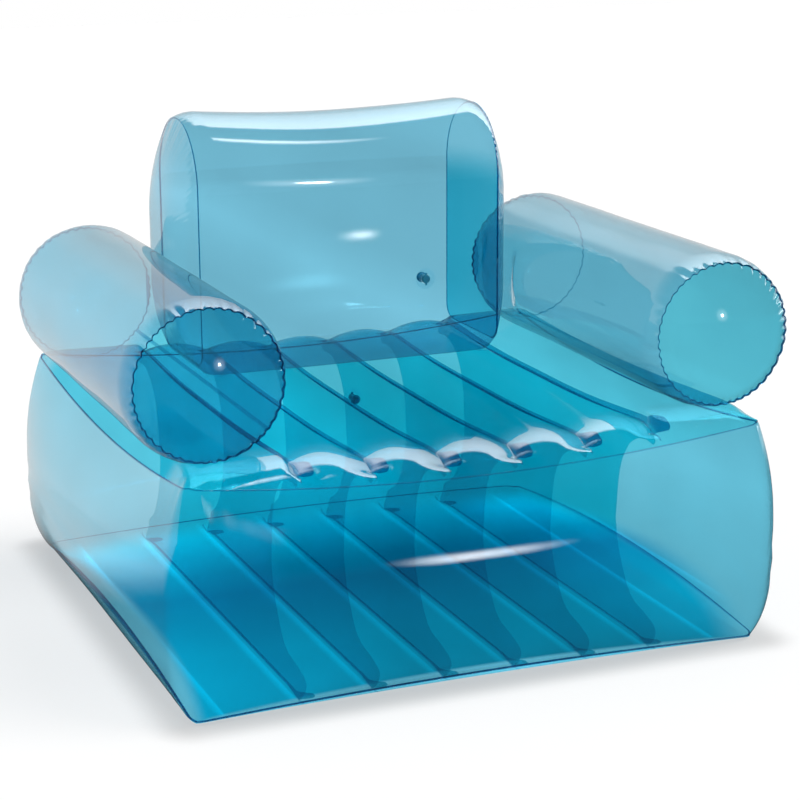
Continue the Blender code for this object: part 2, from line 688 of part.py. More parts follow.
def make_valve(word, wall, place, turn, group, tools):
    """A push-in valve on a wall: local +Z points out of the chair, local +Y is up."""
    seat = hinge_empty(f"{word}_valve_seat", place, group, None)
    seat.rotation_euler = turn
    cut_film_hole(wall, seat, f"{word}_valve_film_hole", tools)

    stem_radius = STEM_DIAMETER / 2
    hole = stem_radius + STEM_CLEARANCE
    flange_top = GAP + FLANGE_THICKNESS
    collar_top = GAP + COLLAR_HEIGHT
    rim = FLANGE_DIAMETER / 2
    collar = COLLAR_DIAMETER / 2
    edge = FLANGE_THICKNESS / 2
    turned(
        f"{word}_valve_flange",
        [
            (hole, collar_top),
            (collar - edge, collar_top),
            (collar, collar_top - edge),
            (collar, flange_top),
            (rim - edge, flange_top),
            (rim, flange_top - edge),
            (rim, GAP),
            (hole, GAP),
        ],
        True,
        group,
        seat,
        BLUE,
    )

    stem_top = collar_top + GAP + LUG_THICKNESS
    stem_end = stem_top - STEM_LENGTH
    lip = LIP_DIAMETER / 2
    bore = STEM_BORE / 2
    stem = turned(
        f"{word}_valve_stem",
        [
            (bore, stem_top),
            (stem_radius, stem_top),
            (stem_radius, stem_end + LIP_THICKNESS),
            (lip, stem_end + LIP_THICKNESS / 2),
            (lip, stem_end),
            (bore, stem_end),
        ],
        True,
        group,
        seat,
    )
    lug = tool_box(
        f"{word}_valve_lug",
        (-LUG_WIDTH / 2, (bore + stem_radius) / 2, stem_top - LUG_THICKNESS),
        (LUG_WIDTH / 2, HINGE_REACH + LUG_OVERHANG, stem_top),
        tools,
        seat,
    )
    boolean(stem, lug, "UNION")

    hinge_height = stem_top + GAP
    bend = (0, HINGE_REACH, hinge_height)
    plug_hinge = hinge_empty(f"{word}_valve_plug_bend", bend, group, seat)
    head = PLUG_DIAMETER / 2
    top_edge = PLUG_THICKNESS / 3
    plug = turned(
        f"{word}_valve_plug",
        [
            (0, PLUG_THICKNESS),
            (head - top_edge, PLUG_THICKNESS),
            (head, PLUG_THICKNESS - top_edge),
            (head, 0),
            (SHANK_TOP_DIAMETER / 2, 0),
            (SHANK_END_DIAMETER / 2, -SHANK_LENGTH),
            (0, -SHANK_LENGTH),
        ],
        False,
        group,
        plug_hinge,
    )
    plug.location.y = -HINGE_REACH
    tether = tool_box(
        f"{word}_valve_tether",
        (-TETHER_WIDTH / 2, head / 2, 0),
        (TETHER_WIDTH / 2, HINGE_REACH - GAP, TETHER_THICKNESS),
        tools,
        plug,
    )
    tab = tool_box(
        f"{word}_valve_tab",
        (-TETHER_WIDTH / 2, -head - TAB_LENGTH, 0),
        (TETHER_WIDTH / 2, -head / 2, TETHER_THICKNESS),
        tools,
        plug,
    )
    boolean(plug, tether, "UNION")
    boolean(plug, tab, "UNION")

    flap_hinge = hinge_empty(
        f"{word}_valve_flap_bend", (0, FLAP_HINGE_REACH, stem_end - GAP), group, seat
    )
    flap_radius = FLAP_DIAMETER / 2
    flap = turned(
        f"{word}_valve_flap",
        [(0, 0), (flap_radius, 0), (flap_radius, -FLAP_THICKNESS), (0, -FLAP_THICKNESS)],
        False,
        group,
        flap_hinge,
        BLUE,
    )
    flap.location.y = -FLAP_HINGE_REACH
    flap_tab = tool_box(
        f"{word}_valve_flap_tab",
        (-TETHER_WIDTH / 2, flap_radius / 2, -FLAP_THICKNESS),
        (TETHER_WIDTH / 2, FLAP_HINGE_REACH, 0),
        tools,
        flap,
    )
    boolean(flap, flap_tab, "UNION")


def main():
    clear_scene()
    chair = collection("inflatable_pool_chair")
    tools = collection("cutters")

    base_panel("seat_top_panel", CHANNEL_STEPS, seat_height, TOP_SEAM_LEAN, True, chair)
    base_panel(
        "seat_bottom_panel", CHANNEL_STEPS // 2, underside_height, FOOT_SEAM_LEAN, False, chair
    )
    band, seat_valve = make_side_band(chair)
    for number in range(1, WEB_COUNT + 1):
        make_web(number, chair)

    wrap, back_valve = make_backrest_wrap(chair)
    make_backrest_end("left", -1, chair)
    make_backrest_end("right", 1, chair)
    back_patch_place = (0, BACK_FRONT + BACK_DEPTH / 2, BACK_REST)
    back_patch_width = BACK_WIDTH - 2 * BACK_PATCH_MARGIN
    make_patch("backrest_mount_patch", back_patch_place, back_patch_width, BACK_PATCH_DEPTH, chair)

    patch_middle = ARM_PATCH_SETBACK + ARM_PATCH_LENGTH / 2 - DEEP
    for word, side in (("left", -1), ("right", 1)):
        make_sleeve(word, side, chair)
        make_arm_cap(word, side, "front", -1, chair)
        make_arm_cap(word, side, "rear", 1, chair)
        patch_place = (side * ARM_SPACING / 2, patch_middle, ARM_REST)
        make_patch(f"{word}_arm_mount_patch", patch_place, ARM_PATCH_WIDTH, ARM_PATCH_LENGTH, chair)

    quarter = math.radians(90)
    make_valve("back", wrap, back_valve, (quarter, 0, 0), chair, tools)
    make_valve("seat", band, seat_valve, (quarter, 0, math.pi), chair, tools)
    print("seat valve", [round(c, 5) for c in seat_valve], "back valve", [round(c, 5) for c in back_valve])


main()
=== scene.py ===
import math

import bpy
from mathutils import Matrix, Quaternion, Vector, noise


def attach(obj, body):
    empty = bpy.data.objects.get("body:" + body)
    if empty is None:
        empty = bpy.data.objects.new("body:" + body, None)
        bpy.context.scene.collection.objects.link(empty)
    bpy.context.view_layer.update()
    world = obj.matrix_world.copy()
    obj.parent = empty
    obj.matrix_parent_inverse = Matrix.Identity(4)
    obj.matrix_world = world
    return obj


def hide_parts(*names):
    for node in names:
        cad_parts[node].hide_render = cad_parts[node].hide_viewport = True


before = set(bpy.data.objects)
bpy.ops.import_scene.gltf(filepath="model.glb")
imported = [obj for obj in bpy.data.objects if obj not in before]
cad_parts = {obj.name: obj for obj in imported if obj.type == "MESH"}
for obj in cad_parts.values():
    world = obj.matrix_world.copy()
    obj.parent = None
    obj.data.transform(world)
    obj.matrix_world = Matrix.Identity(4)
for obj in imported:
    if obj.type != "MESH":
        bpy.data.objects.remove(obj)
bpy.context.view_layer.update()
chairBody = "chair"
up = Vector((0, 0, 1))


# Small sums that every piece uses

def mix(low, high, share):
    return low + (high - low) * share


def clamp(value, low=0.0, high=1.0):
    return min(max(value, low), high)


def easeStep(low, high, value):
    share = clamp((value - low) / (high - low))
    return share * share * (3 - 2 * share)


def softMin(first, second, width):
    near = max(width - abs(first - second), 0) / width
    return min(first, second) - near * near * width / 4


def softMax(first, second, width):
    return -softMin(-first, -second, width)


def plateau(value, riseFrom, riseTo, fallFrom, fallTo):
    return easeStep(riseFrom, riseTo, value) * (1 - easeStep(fallFrom, fallTo, value))


def readSmooth(table, value):
    # a smooth curve through (place, height) pairs
    places = [place for place, height in table]
    value = clamp(value, places[0], places[-1])
    last = len(table) - 2
    n = min(max(sum(place <= value for place in places) - 1, 0), last)
    slopes = []
    for k in (n, n + 1):
        before, after = max(k - 1, 0), min(k + 1, len(table) - 1)
        slopes.append((table[after][1] - table[before][1]) / (places[after] - places[before]))
    run = places[n + 1] - places[n]
    t = (value - places[n]) / run
    start = (1 + 2 * t) * (1 - t) ** 2 * table[n][1] + t * (1 - t) ** 2 * run * slopes[0]
    return start + t * t * (3 - 2 * t) * table[n + 1][1] + t * t * (t - 1) * run * slopes[1]


def evenStops(low, high, step):
    count = max(round((high - low) / step), 1)
    return [mix(low, high, n / count) for n in range(count)]


def roundStops(low, high, count):
    # closer together towards both ends
    return [mix(low, high, (1 - math.cos(math.pi * n / count)) / 2) for n in range(count)]


def edgeStops(reach, count):
    # from 0 to the reach, closer together at the start
    return [reach * (1 - math.cos(math.pi / 2 * n / count)) for n in range(count + 1)]


def mirrored(stops):
    return [-stop for stop in reversed(stops)]


def ringShares(count):
    # from 1 at the rim of a round sheet to 0 at its middle, closer together at the rim
    return [math.cos(math.pi / 2 * n / count) for n in range(count)] + [0.0]


def ownLine(line, lines):
    # the first and last lines of a sheet are its hems and repeat the seams beside them
    return min(max(line - 1, 0), len(lines) - 1)


def drift(*place):
    # calm noise between about -1 and 1
    return noise.noise(Vector(place))


def ringDrift(turn, scale, seed):
    return drift(math.cos(turn) * scale, math.sin(turn) * scale, seed)


def unevenSize(middle, spread, least, turn, scale, seed):
    return clamp(middle + spread * ringDrift(turn, scale, seed), least, 1)


def curlShare(distance, reach):
    return 1 - (1 - min(distance / reach, 1)) ** 2


# Film: a tinted skin that lets light straight through and mirrors more at a slant

film = {
    "thickness": 0.00035,
    "hem": 0.0035,  # how far a welded edge turns into the chamber
    "seamGap": 0.0003,
    "gap": 0.0003,
    "merge": 0.00001,
}

filmLook = {
    "ior": 1.53,
    "roughness": 0.025,
    "shadow": (0.925, 0.932, 0.938, 1),
    "waveScale": 16.0,
    "waveHeight": 0.00010,
    "lineScale": 260.0,  # fine rolling lines left by the film's making
    "lineStretch": (0.03, 0.03, 1),
    "lineHeight": 0.000012,
    "innerGloss": 0.30,  # the sheets' inner faces mirror less than the outer ones
    "tintDrift": 0.05,
    "tintScale": 4.0,
    "mattTint": 0.96,
}

tints = {
    # colour let through by one face of the film and by one face of a weld, whose colour also gives painted
    # shade, and how strongly it mirrors
    "seatFilm": ((0.62, 0.875, 0.937, 1), (0.30, 0.64, 0.78, 1), 1.0),
    "topFilm": ((0.47, 0.874, 0.937, 1), (0.24, 0.62, 0.77, 1), 1.0),
    "webFilm": ((0.24, 0.86, 0.90, 1), (0.16, 0.60, 0.74, 1), 0.12),
    "bottomFilm": ((0.62, 0.875, 0.937, 1), (0.30, 0.64, 0.78, 1), 0.20),
    "armFilm": ((0.60, 0.838, 0.905, 1), (0.34, 0.66, 0.78, 1), 1.0),
    # the front caps use a clearer copy of the arm film: painted light, for the brighter colour seen through
    # them
    "capFilmPaintedLight": ((0.56, 0.915, 0.955, 1), (0.34, 0.66, 0.78, 1), 1.0),
    "backFilm": ((0.67, 0.872, 0.935, 1), (0.12, 0.70, 0.82, 1), 1.0),
    "patchFilm": ((0.90, 0.965, 0.98, 1), (0.36, 0.68, 0.80, 1), 0.05),
}
lineHeights = {"armFilm": 0.0000006, "capFilmPaintedLight": 0.0000004, "backFilm": 0.000002}


def addNode(tree, kind, inputs=(), **settings):
    # each input is a plain value or another node's output
    node = tree.nodes.new(kind)
    for key, value in settings.items():
        setattr(node, key, value)
    for name, value in dict(inputs).items():
        if isinstance(value, bpy.types.NodeSocket):
            tree.links.new(value, node.inputs[name])
        else:
            node.inputs[name].default_value = value
    return node


def calc(tree, operation, *values, **settings):
    node = addNode(tree, "ShaderNodeMath", enumerate(values), operation=operation, **settings)
    return node.outputs["Value"]


def vectorCalc(tree, operation, *values):
    node = addNode(tree, "ShaderNodeVectorMath", enumerate(values), operation=operation)
    return node.outputs["Value" if operation == "LENGTH" else "Vector"]


def scaleBy(tree, vector, amount):
    inputs = {0: vector, "Scale": amount}
    return addNode(tree, "ShaderNodeVectorMath", inputs, operation="SCALE").outputs["Vector"]


def mapRange(tree, value, low, high, toLow=0.0, toHigh=1.0, **settings):
    inputs = {"Value": value, "From Min": low, "From Max": high, "To Min": toLow, "To Max": toHigh}
    return addNode(tree, "ShaderNodeMapRange", inputs, **settings).outputs["Result"]


def mixNode(tree, share, first, second, **settings):
    inputs = {"Factor": share, "A": first, "B": second}
    return addNode(tree, "ShaderNodeMix", inputs, **settings).outputs["Result"]


def mixShader(tree, share, first, second):
    return addNode(tree, "ShaderNodeMixShader", {"Fac": share, 1: first, 2: second}).outputs["Shader"]


def addShader(tree, first, second):
    return addNode(tree, "ShaderNodeAddShader", {0: first, 1: second}).outputs["Shader"]


def bsdf(tree, kind, inputs):
    return addNode(tree, "ShaderNodeBsdf" + kind, inputs).outputs["BSDF"]


def emission(tree, inputs):
    return addNode(tree, "ShaderNodeEmission", inputs).outputs["Emission"]


def clouds(tree, place, scale, detail):
    inputs = {"Vector": place, "Scale": scale, "Detail": detail}
    return addNode(tree, "ShaderNodeTexNoise", inputs).outputs["Fac"]


def readAttribute(tree, name):
    return addNode(tree, "ShaderNodeAttribute", attribute_name=name).outputs["Fac"]


def objectPlace(tree):
    return addNode(tree, "ShaderNodeTexCoord").outputs["Object"]


def split(tree, vector):
    return addNode(tree, "ShaderNodeSeparateXYZ", {"Vector": vector}).outputs


def rays(tree):
    return addNode(tree, "ShaderNodeLightPath").outputs


def ramp(tree, value, pairs, most):
    # a colour, or a level of grey, at each position; dividing by most keeps the stops below 1
    node = addNode(tree, "ShaderNodeValToRGB", {"Fac": value})
    stops = node.color_ramp.elements
    for n, (position, colour) in enumerate(pairs):
        stop = stops[n] if n < 2 else stops.new(1.0)
        stop.position = position
        colour = colour if isinstance(colour, tuple) else (colour,) * 3
        stop.color = [c / most for c in colour] + [1]
    return node.outputs["Color"]


def newMaterial(name):
    material = bpy.data.materials.new(name)
    material.use_nodes = True
    material.node_tree.nodes.clear()
    return material, material.node_tree


def filmSkinGroup():
    # the tint, darker at welds and where shade is painted in, and the wavy skin that breaks up reflections
    group = bpy.data.node_groups.new("filmSkin", "ShaderNodeTree")
    sockets = (
        ("Tint", "INPUT", "Color"), ("Weld And Shade Tint", "INPUT", "Color"), ("Wave Scale", "INPUT", "Float"),
        ("Wave Height", "INPUT", "Float"), ("Line Height", "INPUT", "Float"),
        ("Tint", "OUTPUT", "Color"), ("Normal", "OUTPUT", "Vector"))
    for name, way, kind in sockets:
        group.interface.new_socket(name, in_out=way, socket_type="NodeSocket" + kind)
    given = addNode(group, "NodeGroupInput").outputs
    place = objectPlace(group)

    weldAndPaintedShade = readAttribute(group, "weldAndPaintedShade")
    weldedAndShaded = mixNode(group, weldAndPaintedShade, given["Tint"], given["Weld And Shade Tint"], data_type="RGBA")
    patchy = clouds(group, place, filmLook["tintScale"], 1)
    amount = mapRange(group, patchy, 0, 1, 1 - filmLook["tintDrift"], 1 + filmLook["tintDrift"])
    # where the mirror share is hidden, the tint makes up for the light that it took
    kept = mapRange(group, readAttribute(group, "matt"), 0, 1, 1, filmLook["mattTint"])
    tint = scaleBy(group, weldedAndShaded, calc(group, "MULTIPLY", amount, kept))

    swell = calc(group, "MULTIPLY", clouds(group, place, given["Wave Scale"], 1), given["Wave Height"])
    stretched = addNode(group, "ShaderNodeMapping", {"Vector": place, "Scale": filmLook["lineStretch"]})
    lines = clouds(group, stretched.outputs["Vector"], filmLook["lineScale"], 0)
    height = calc(group, "MULTIPLY_ADD", lines, given["Line Height"], swell)
    bump = addNode(group, "ShaderNodeBump", {"Strength": 1, "Distance": 1, "Height": height})
    addNode(group, "NodeGroupOutput", {"Tint": tint, "Normal": bump.outputs["Normal"]})
    return group


filmSkin = filmSkinGroup()


def filmMaterial(name, inner):
    tint, weldAndShadeTint, gloss = tints[name]
    if inner:
        gloss *= filmLook["innerGloss"]
    material, tree = newMaterial(name + ("Inner" if inner else ""))
    skin = addNode(tree, "ShaderNodeGroup", {
        "Tint": tint, "Weld And Shade Tint": weldAndShadeTint,
        "Wave Scale": filmLook["waveScale"], "Wave Height": filmLook["waveHeight"],
        "Line Height": lineHeights.get(name, filmLook["lineHeight"]),
    }, node_tree=filmSkin).outputs
    through = bsdf(tree, "Transparent", {"Color": skin["Tint"]})
    mirror = bsdf(tree, "Anisotropic", {"Roughness": filmLook["roughness"], "Normal": skin["Normal"]})

    # both faces of the film mirror, so the outer one carries 2F / (1 + F) and the inner none
    inputs = {"IOR": filmLook["ior"], "Normal": skin["Normal"]}
    slant = addNode(tree, "ShaderNodeFresnel", inputs).outputs["Fac"]
    both = calc(tree, "DIVIDE", calc(tree, "MULTIPLY", slant, 2 * gloss), calc(tree, "ADD", slant, 1))
    inside = addNode(tree, "ShaderNodeNewGeometry").outputs["Backfacing"]
    hidden = calc(tree, "MAXIMUM", inside, readAttribute(tree, "matt"))
    shown = calc(tree, "SUBTRACT", 1, hidden, use_clamp=True)
    skinMix = mixShader(tree, calc(tree, "MULTIPLY", both, shown), through, mirror)

    # its shadow is paler and greyer than the film
    shade = bsdf(tree, "Transparent", {"Color": filmLook["shadow"]})
    whole = mixShader(tree, rays(tree)["Is Shadow Ray"], skinMix, shade)
    addNode(tree, "ShaderNodeOutputMaterial", {"Surface": whole})
    return material


films = {name: filmMaterial(name, False) for name in tints}
innerFilms = {name: filmMaterial(name, True) for name in tints}
print("materials made")


def addObject(name, operator, **settings):
    bpy.ops.object.select_all(action="DESELECT")
    operator(**settings)
    bpy.context.object.name = name
    return bpy.context.object


def pickOnly(piece):
    bpy.ops.object.select_all(action="DESELECT")
    piece.select_set(True)
    bpy.context.view_layer.objects.active = piece


def applyModifier(piece, modifier):
    pickOnly(piece)
    bpy.ops.object.modifier_apply(modifier=modifier.name)


def filmSheet(name, columns, rows, place, material, flip=False, centred=False):
    # a grid whose points lie where place(column, row) says, closed at its seams and given its thickness
    piece = addObject(
        name, bpy.ops.mesh.primitive_grid_add, x_subdivisions=columns, y_subdivisions=rows, size=1)
    mesh = piece.data
    mesh.name = name
    welds = mesh.attributes.new("weldAndPaintedShade", "FLOAT", "POINT")
    matts = mesh.attributes.new("matt", "FLOAT", "POINT")
    for n, vertex in enumerate(mesh.vertices):
        column = round((vertex.co.x + 0.5) * columns)
        row = round((vertex.co.y + 0.5) * rows)
        vertex.co, welds.data[n].value, *matt = place(column, row)
        matts.data[n].value = matt[0] if matt else 0  # 1 hides what this place would mirror
    for layer in list(mesh.uv_layers):
        mesh.uv_layers.remove(layer)
    bpy.ops.object.mode_set(mode="EDIT")
    bpy.ops.mesh.select_all(action="SELECT")
    bpy.ops.mesh.remove_doubles(threshold=film["merge"])
    if flip:
        bpy.ops.mesh.flip_normals()
    bpy.ops.object.mode_set(mode="OBJECT")
    mesh.materials.clear()
    mesh.materials.append(films[material])
    mesh.materials.append(innerFilms[material])
    wall = piece.modifiers.new("wall", "SOLIDIFY")
    wall.thickness = film["thickness"]
    wall.offset = 0 if centred else -1
    wall.material_offset = 1
    applyModifier(piece, wall)
    bpy.ops.object.shade_smooth()
    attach(piece, chairBody)
    return piece


def weldedEdge(seam, ownWay, otherWay, depth):
    clear = (ownWay - otherWay).normalized() * film["seamGap"] / 2
    return seam + clear - (ownWay + otherWay).normalized() * depth


# Seat cushion: top, wall and bottom, tied by six webs

seat = {
    "width": 1.0,
    "depth": 0.97,
    "seamHeight": 0.382,
    "topSag": 0.033,
    "footHeight": 0.004,
    "footLift": 0.012,
    "footLiftSide": 0.032,
    "cornerRadius": 0.024,
    "wallBulge": 0.058,
    "cornerBulge": 0.030,
    "wallLow": 4.2,  # a higher power makes a fuller curve
    "wallHigh": 2.2,
    "shoulder": 0.095,
    "footShoulder": 0.05,
    "topLean": math.radians(20),
    "footLean": math.radians(-30),
    "webCount": 6,
    "webSpacing": 0.125,
    "weldDrop": 0.0235,
    "weldOuterRise": 0.0125,
    "weldEndRise": 0.016,
    "crown": 0.034,
    "crownEnd": 0.013,
    "sideCrown": 0.055,
    "notchStart": 0.010,
    "notchEnd": 0.034,
    "webTip": 0.028,
    "flange": 0.0065,
    "flangeRows": 4,
    "flangeEnd": (0.004, 0.013),  # the flange's ends are rounded, from this start over this length
    "flangeWeld": 0.5,  # how dark the upper flange is, where its tabs are at 1
    "floorWeld": 0.3,
    "tab": 0.030,  # width of the rounded tab at the end of each weld line
    "tabLength": 0.028,
    "tabShort": 0.6,  # the tab is whole up to this share of its length, and ends at the other
    "tabLong": 1.3,
    "tabAhead": 0.012,  # how far the upper tabs reach past their web
    "tabMattAcross": (-0.001, 0.002, 0.032, 0.042),  # the top is matt over a tab, from its web
    "tabMattAlong": (0.001, 0.005, 0.032, 0.042),  # and from the edge
    "webFoot": 0.010,  # how far the webs' lower ends lean over
    "webFootLevel": 0.30,
    "webFootReach": 0.05,
    "webStep": 0.016,
    "webEndFirst": 0.002,
    "webEndStep": 0.003,
    "webEndReach": 0.04,
    "webLevels": 44,
    "wallMattHeights": (0.238, 0.248, 0.30, 0.33),  # the front mirrors only below and above these
    "wallMattEnds": (0.34, 0.42),
    "wallLevels": 44,
    "wallStep": 0.009,
    "cornerStep": 0.004,
    "seamLine": 0.0007,  # the top seam is dark this far past its hem
    "weldLine": 0.0012,  # half the width of a weld line, and how dark it is
    "lineWeld": 0.8,
    "topMatt": 0.93,  # the top mirrors less between its front and rear slopes
    "topMattFrom": (0.06, 0.13),
    "groove": 0.007,  # weld lines of the underside stand this far off the floor
    "grooveWidth": 0.030,
    "grooveEnd": (0.10, 0.02),
    "press": 0.006,  # softness of the dents under the backrest and the arms
    "dentSlope": 1.2,
    "shoulderLines": 22,
    "shoulderPast": 1.2,  # the close lines reach this far past the shoulder
    "cornerPucker": 0.0016,
    "cornerTurns": 44,
    "cornerReach": 0.025,
    "cornerInset": 0.15,  # the gathers fan out from a point this far inside the corner
    "gatherFrom": 0.004,  # the gathers grow over this distance from the seam
    "valvePlace": (0.15625, 0.5373, 0.21732),
}
# from the middle of the seat to its front: how far the channels' crests and the weld lines rise
noseRise = ((0.0, 0.0), (0.258, 0.0), (0.485, 0.2), (0.856, 0.8), (0.942, 1.0), (1.0, 1.0))
weldRise = ((0.0, 0.0), (0.258, 0.0), (0.485, 0.2), (0.80, 0.8), (0.87, 0.9), (0.942, 0.35), (1.0, 0.0))

# the webs' free ends are hollowed, by these shares from either sheet to half the height
webHollow = 0.134
upperHollow = ((0.0, 0.055), (0.022, 0.013), (0.05, 0.0), (0.078, 0.013), (0.1, 0.09), (0.13, 0.28),
               (0.17, 0.48), (0.25, 0.68), (0.5, 0.90), (1.0, 1.0))
lowerHollow = ((0.0, 0.07), (0.04, 0.01), (0.09, 0.0), (0.15, 0.01), (0.20, 0.06), (0.24, 0.20),
               (0.28, 0.40), (0.34, 0.56), (0.5, 0.74), (0.75, 0.92), (1.0, 1.0))

wide, deep = seat["width"] / 2, seat["depth"] / 2
webReach = (seat["webCount"] - 1) / 2 * seat["webSpacing"]
webPlaces = [n * seat["webSpacing"] - webReach for n in range(seat["webCount"])]

back = {
    "sideContact": 0.042,
    "depth": 0.24,
    "height": 0.434,
    "rearSetback": 0.13,
    "restRise": 0.016,
    "footDrop": 0.015,
    "footRadius": 0.03,
    "curl": 0.04,
    "swell": 0.012,
    "faceBulge": 0.028,
    "faceLow": 0.62,  # below 1 the faces bulge most under their middle
    "topSag": 0.014,
    "endBulge": 0.046,
    "endPower": 2.4,
    "endGap": 0.004,  # softness where an end sheet touches an arm
    "rightEndPaintedShade": 0.75,  # painted shade: the right end is darker in colour up to the height of the arm beside it, standing in for the arm's reflection and the darker surroundings
    "rightEndPaintedShadeTop": (0.68, 0.76),
    "frontMattTop": (0.785, 0.805),  # below this the front face mirrors only in one short dash
    "rearMattFoot": (0.69, 0.71),
    "dash": (0.012, 0.641),  # the dash's middle across and up, and its reach
    "dashReach": (0.040, 0.007),
    "pucker": 0.0011,
    "puckerPitch": 0.013,
    "puckerReach": 0.011,
    "fold": 0.0013,  # of the end sheets
    "folds": 34,
    "foldReach": 0.022,
    "foldFrom": 0.005,
    "step": 0.012,
    "waviness": 0.0012,
    "valvePlace": (0.1296, 0.08667, 0.5495),
}

arm = {
    "inset": 0.056,
    "radius": 0.131,
    "seamRadius": 0.122,
    "setback": 0.045,
    "rearSetback": 0.17,
    "curl": 0.05,
    "press": 0.006,
    "sidePress": 0.017,
    "restRise": 0.020,
    "capBulge": 0.045,
    "capPower": 2.0,
    "capMattTop": (0.027, 0.035),  # above its middle; below that a front cap mirrors only near its rim
    "capRim": (0.75, 0.9),
    "puckers": 44,
    "pucker": 0.0046,
    "puckerReach": 0.010,
    "wrinkle": 0.0020,
    "wrinkleReach": 0.030,
    "wrinkleFrom": 0.006,
    "capWrinkles": (0.5, 0.9),  # the wrinkles grow between these shares of a cap's radius
    "waviness": 0.0012,
    "closeReach": 0.12,  # the lines round the sleeve are closer together up to this far from its ends
    "closeStep": 0.007,
    "step": 0.015,
    "rearWeldPaintedPale": 0.12,  # the rear rings are painted paler than the front ones, for the glare that washes them out
    "lapAngle": math.radians(-40),  # from level on the inner side, where the sleeve's own edges meet
    "lapWidth": 0.006,
    "lapStep": 0.0004,
    "lapWeld": 0.85,
    "backFrom": (-0.012, 0.03),  # the backrest presses the sleeve in over this stretch of its front
}
armSpacing = seat["width"] - 2 * arm["inset"]
armLength = seat["depth"] - arm["setback"] - arm["rearSetback"]
armRest = seat["seamHeight"] + arm["restRise"]
armHeight = armRest + arm["radius"] - arm["press"]
backWidth = armSpacing - 2 * (arm["radius"] - arm["sidePress"] + back["sideContact"])
backFront = deep - back["rearSetback"] - back["depth"]
backRest = seat["seamHeight"] + back["restRise"]
skinClear = film["thickness"] / 2 + film["gap"]
valveFlat = (0.024, 0.055)  # the film is flat round a valve, and curves again from there on
tuckFrom = 0.003  # the tucks of a round or end sheet grow over this distance from its seam
endTuck = 0.8  # and are this share of the sleeve's or strip's own
restSoftness = 0.003  # where a chamber rests on or leans against another


def seamWays(outward, lean):
    quarter = math.radians(45)
    upper = outward * math.cos(lean + quarter) + up * math.sin(lean + quarter)
    lower = outward * math.cos(lean - quarter) + up * math.sin(lean - quarter)
    return upper, lower


def seatPlan(u, v):
    radius = seat["cornerRadius"]
    x, y = u * wide, v * deep
    overX, overY = abs(x) - (wide - radius), abs(y) - (deep - radius)
    if overX > 0 and overY > 0:
        reach = math.hypot(overX, overY)
        shrink = max(overX, overY) / reach
        x = math.copysign(wide - radius + overX * shrink, x)
        y = math.copysign(deep - radius + overY * shrink, y)
        return x, y, Vector((math.copysign(overX, x), math.copysign(overY, y), 0)) / reach
    if abs(u) > abs(v):
        return x, y, Vector((math.copysign(1, u), 0, 0))
    return x, y, Vector((0, math.copysign(1, v), 0))


def cornerShare(u, v):
    low, high = sorted((abs(u), abs(v)))
    return low / high if high else 0


def topSeam(u, v):
    return seat["seamHeight"] - seat["topSag"] * (1 - cornerShare(u, v) ** 2)


def footSeam(u, v):
    lift = seat["footLiftSide"] if abs(u) > abs(v) else seat["footLift"]
    return seat["footHeight"] + lift * (1 - cornerShare(u, v) ** 2)


def quarterRound(distance, width):
    short = 1 - clamp(distance / width)
    return math.sqrt(1 - short * short)


def weldHeight(x, rise):
    outerRise = seat["weldOuterRise"] * min(abs(x) / webReach, 1) ** 2
    return seat["seamHeight"] - seat["weldDrop"] + outerRise + seat["weldEndRise"] * rise


def backFootprint(x, y):
    # how far a place lies outside the backrest's footprint
    offX = abs(x) - backWidth / 2
    offY = abs(y - backFront - back["depth"] / 2) - back["depth"] / 2
    return math.hypot(max(offX, 0), max(offY, 0))


def seatTop(x, y, u, v):
    edge = topSeam(u, v)
    behind = deep - abs(y)
    crease = clamp((behind - seat["notchStart"]) / (seat["notchEnd"] - seat["notchStart"]))
    rise = readSmooth(noseRise, min(abs(v), 1))
    crown = mix(seat["crown"], seat["crownEnd"], rise)
    crest = weldHeight(x, rise) + crown
    notch = (crown + seat["weldEndRise"] * (rise - readSmooth(weldRise, min(abs(v), 1)))) * crease
    if abs(x) < webReach + film["merge"]:
        across = (x + webReach) / seat["webSpacing"] % 1
        arch = 4 * across * (1 - across)
        body = crest - notch * (1 - arch)
    else:
        across = (abs(x) - webReach) / (wide - webReach)
        arch = 1 - abs(2 * across - 1) ** 3
        body = mix(crest - notch, topSeam(1, v), across) + seat["sideCrown"] * arch
        body = softMin(body, armRest - skinClear, seat["press"])
    short = 1 - clamp(behind / seat["shoulder"])
    height = edge + (1 - short * short) * (body - edge)
    dent = backRest - skinClear + seat["dentSlope"] * backFootprint(x, y)
    return softMin(height, dent, seat["press"])


def lineNearness(x, width):
    # 1 on a weld line, falling to 0 at a width from it
    return 1 - clamp(min(abs(x - line) for line in webPlaces) / width)


def tabCover(x, behind):
    # 1 over the rounded tabs at the front ends of the weld lines
    line = math.floor((x + webReach) / seat["webSpacing"] + film["merge"])
    if not 0 <= line < seat["webCount"]:
        return 0
    return plateau(x - webPlaces[line], *seat["tabMattAcross"]) * plateau(behind, *seat["tabMattAlong"])


def seatUnder(x, y, u, v):
    inset = min(wide - abs(x), deep - abs(y))
    rise = footSeam(u, v) * (1 - quarterRound(inset, seat["footShoulder"]))
    start, end = seat["grooveEnd"]
    along = 1 - easeStep(deep - start, deep - end, abs(y))
    groove = seat["groove"] * lineNearness(x, seat["grooveWidth"]) ** 2 * along
    return rise + groove


def seatLines(channelSteps, sideSteps, middleStep):
    across = []
    for start in webPlaces[:-1]:
        across += roundStops(start, start + seat["webSpacing"], channelSteps)
    side = roundStops(webReach, wide, sideSteps)[1:] + [wide]
    across = mirrored(side) + across + [webReach] + side
    shoulder = seat["shoulder"] * seat["shoulderPast"]
    rear = [deep - y for y in reversed(edgeStops(shoulder, seat["shoulderLines"]))]
    along = mirrored(rear) + evenStops(shoulder - deep, deep - shoulder, middleStep)[1:] + rear
    return [x / wide for x in across], [y / deep for y in along]


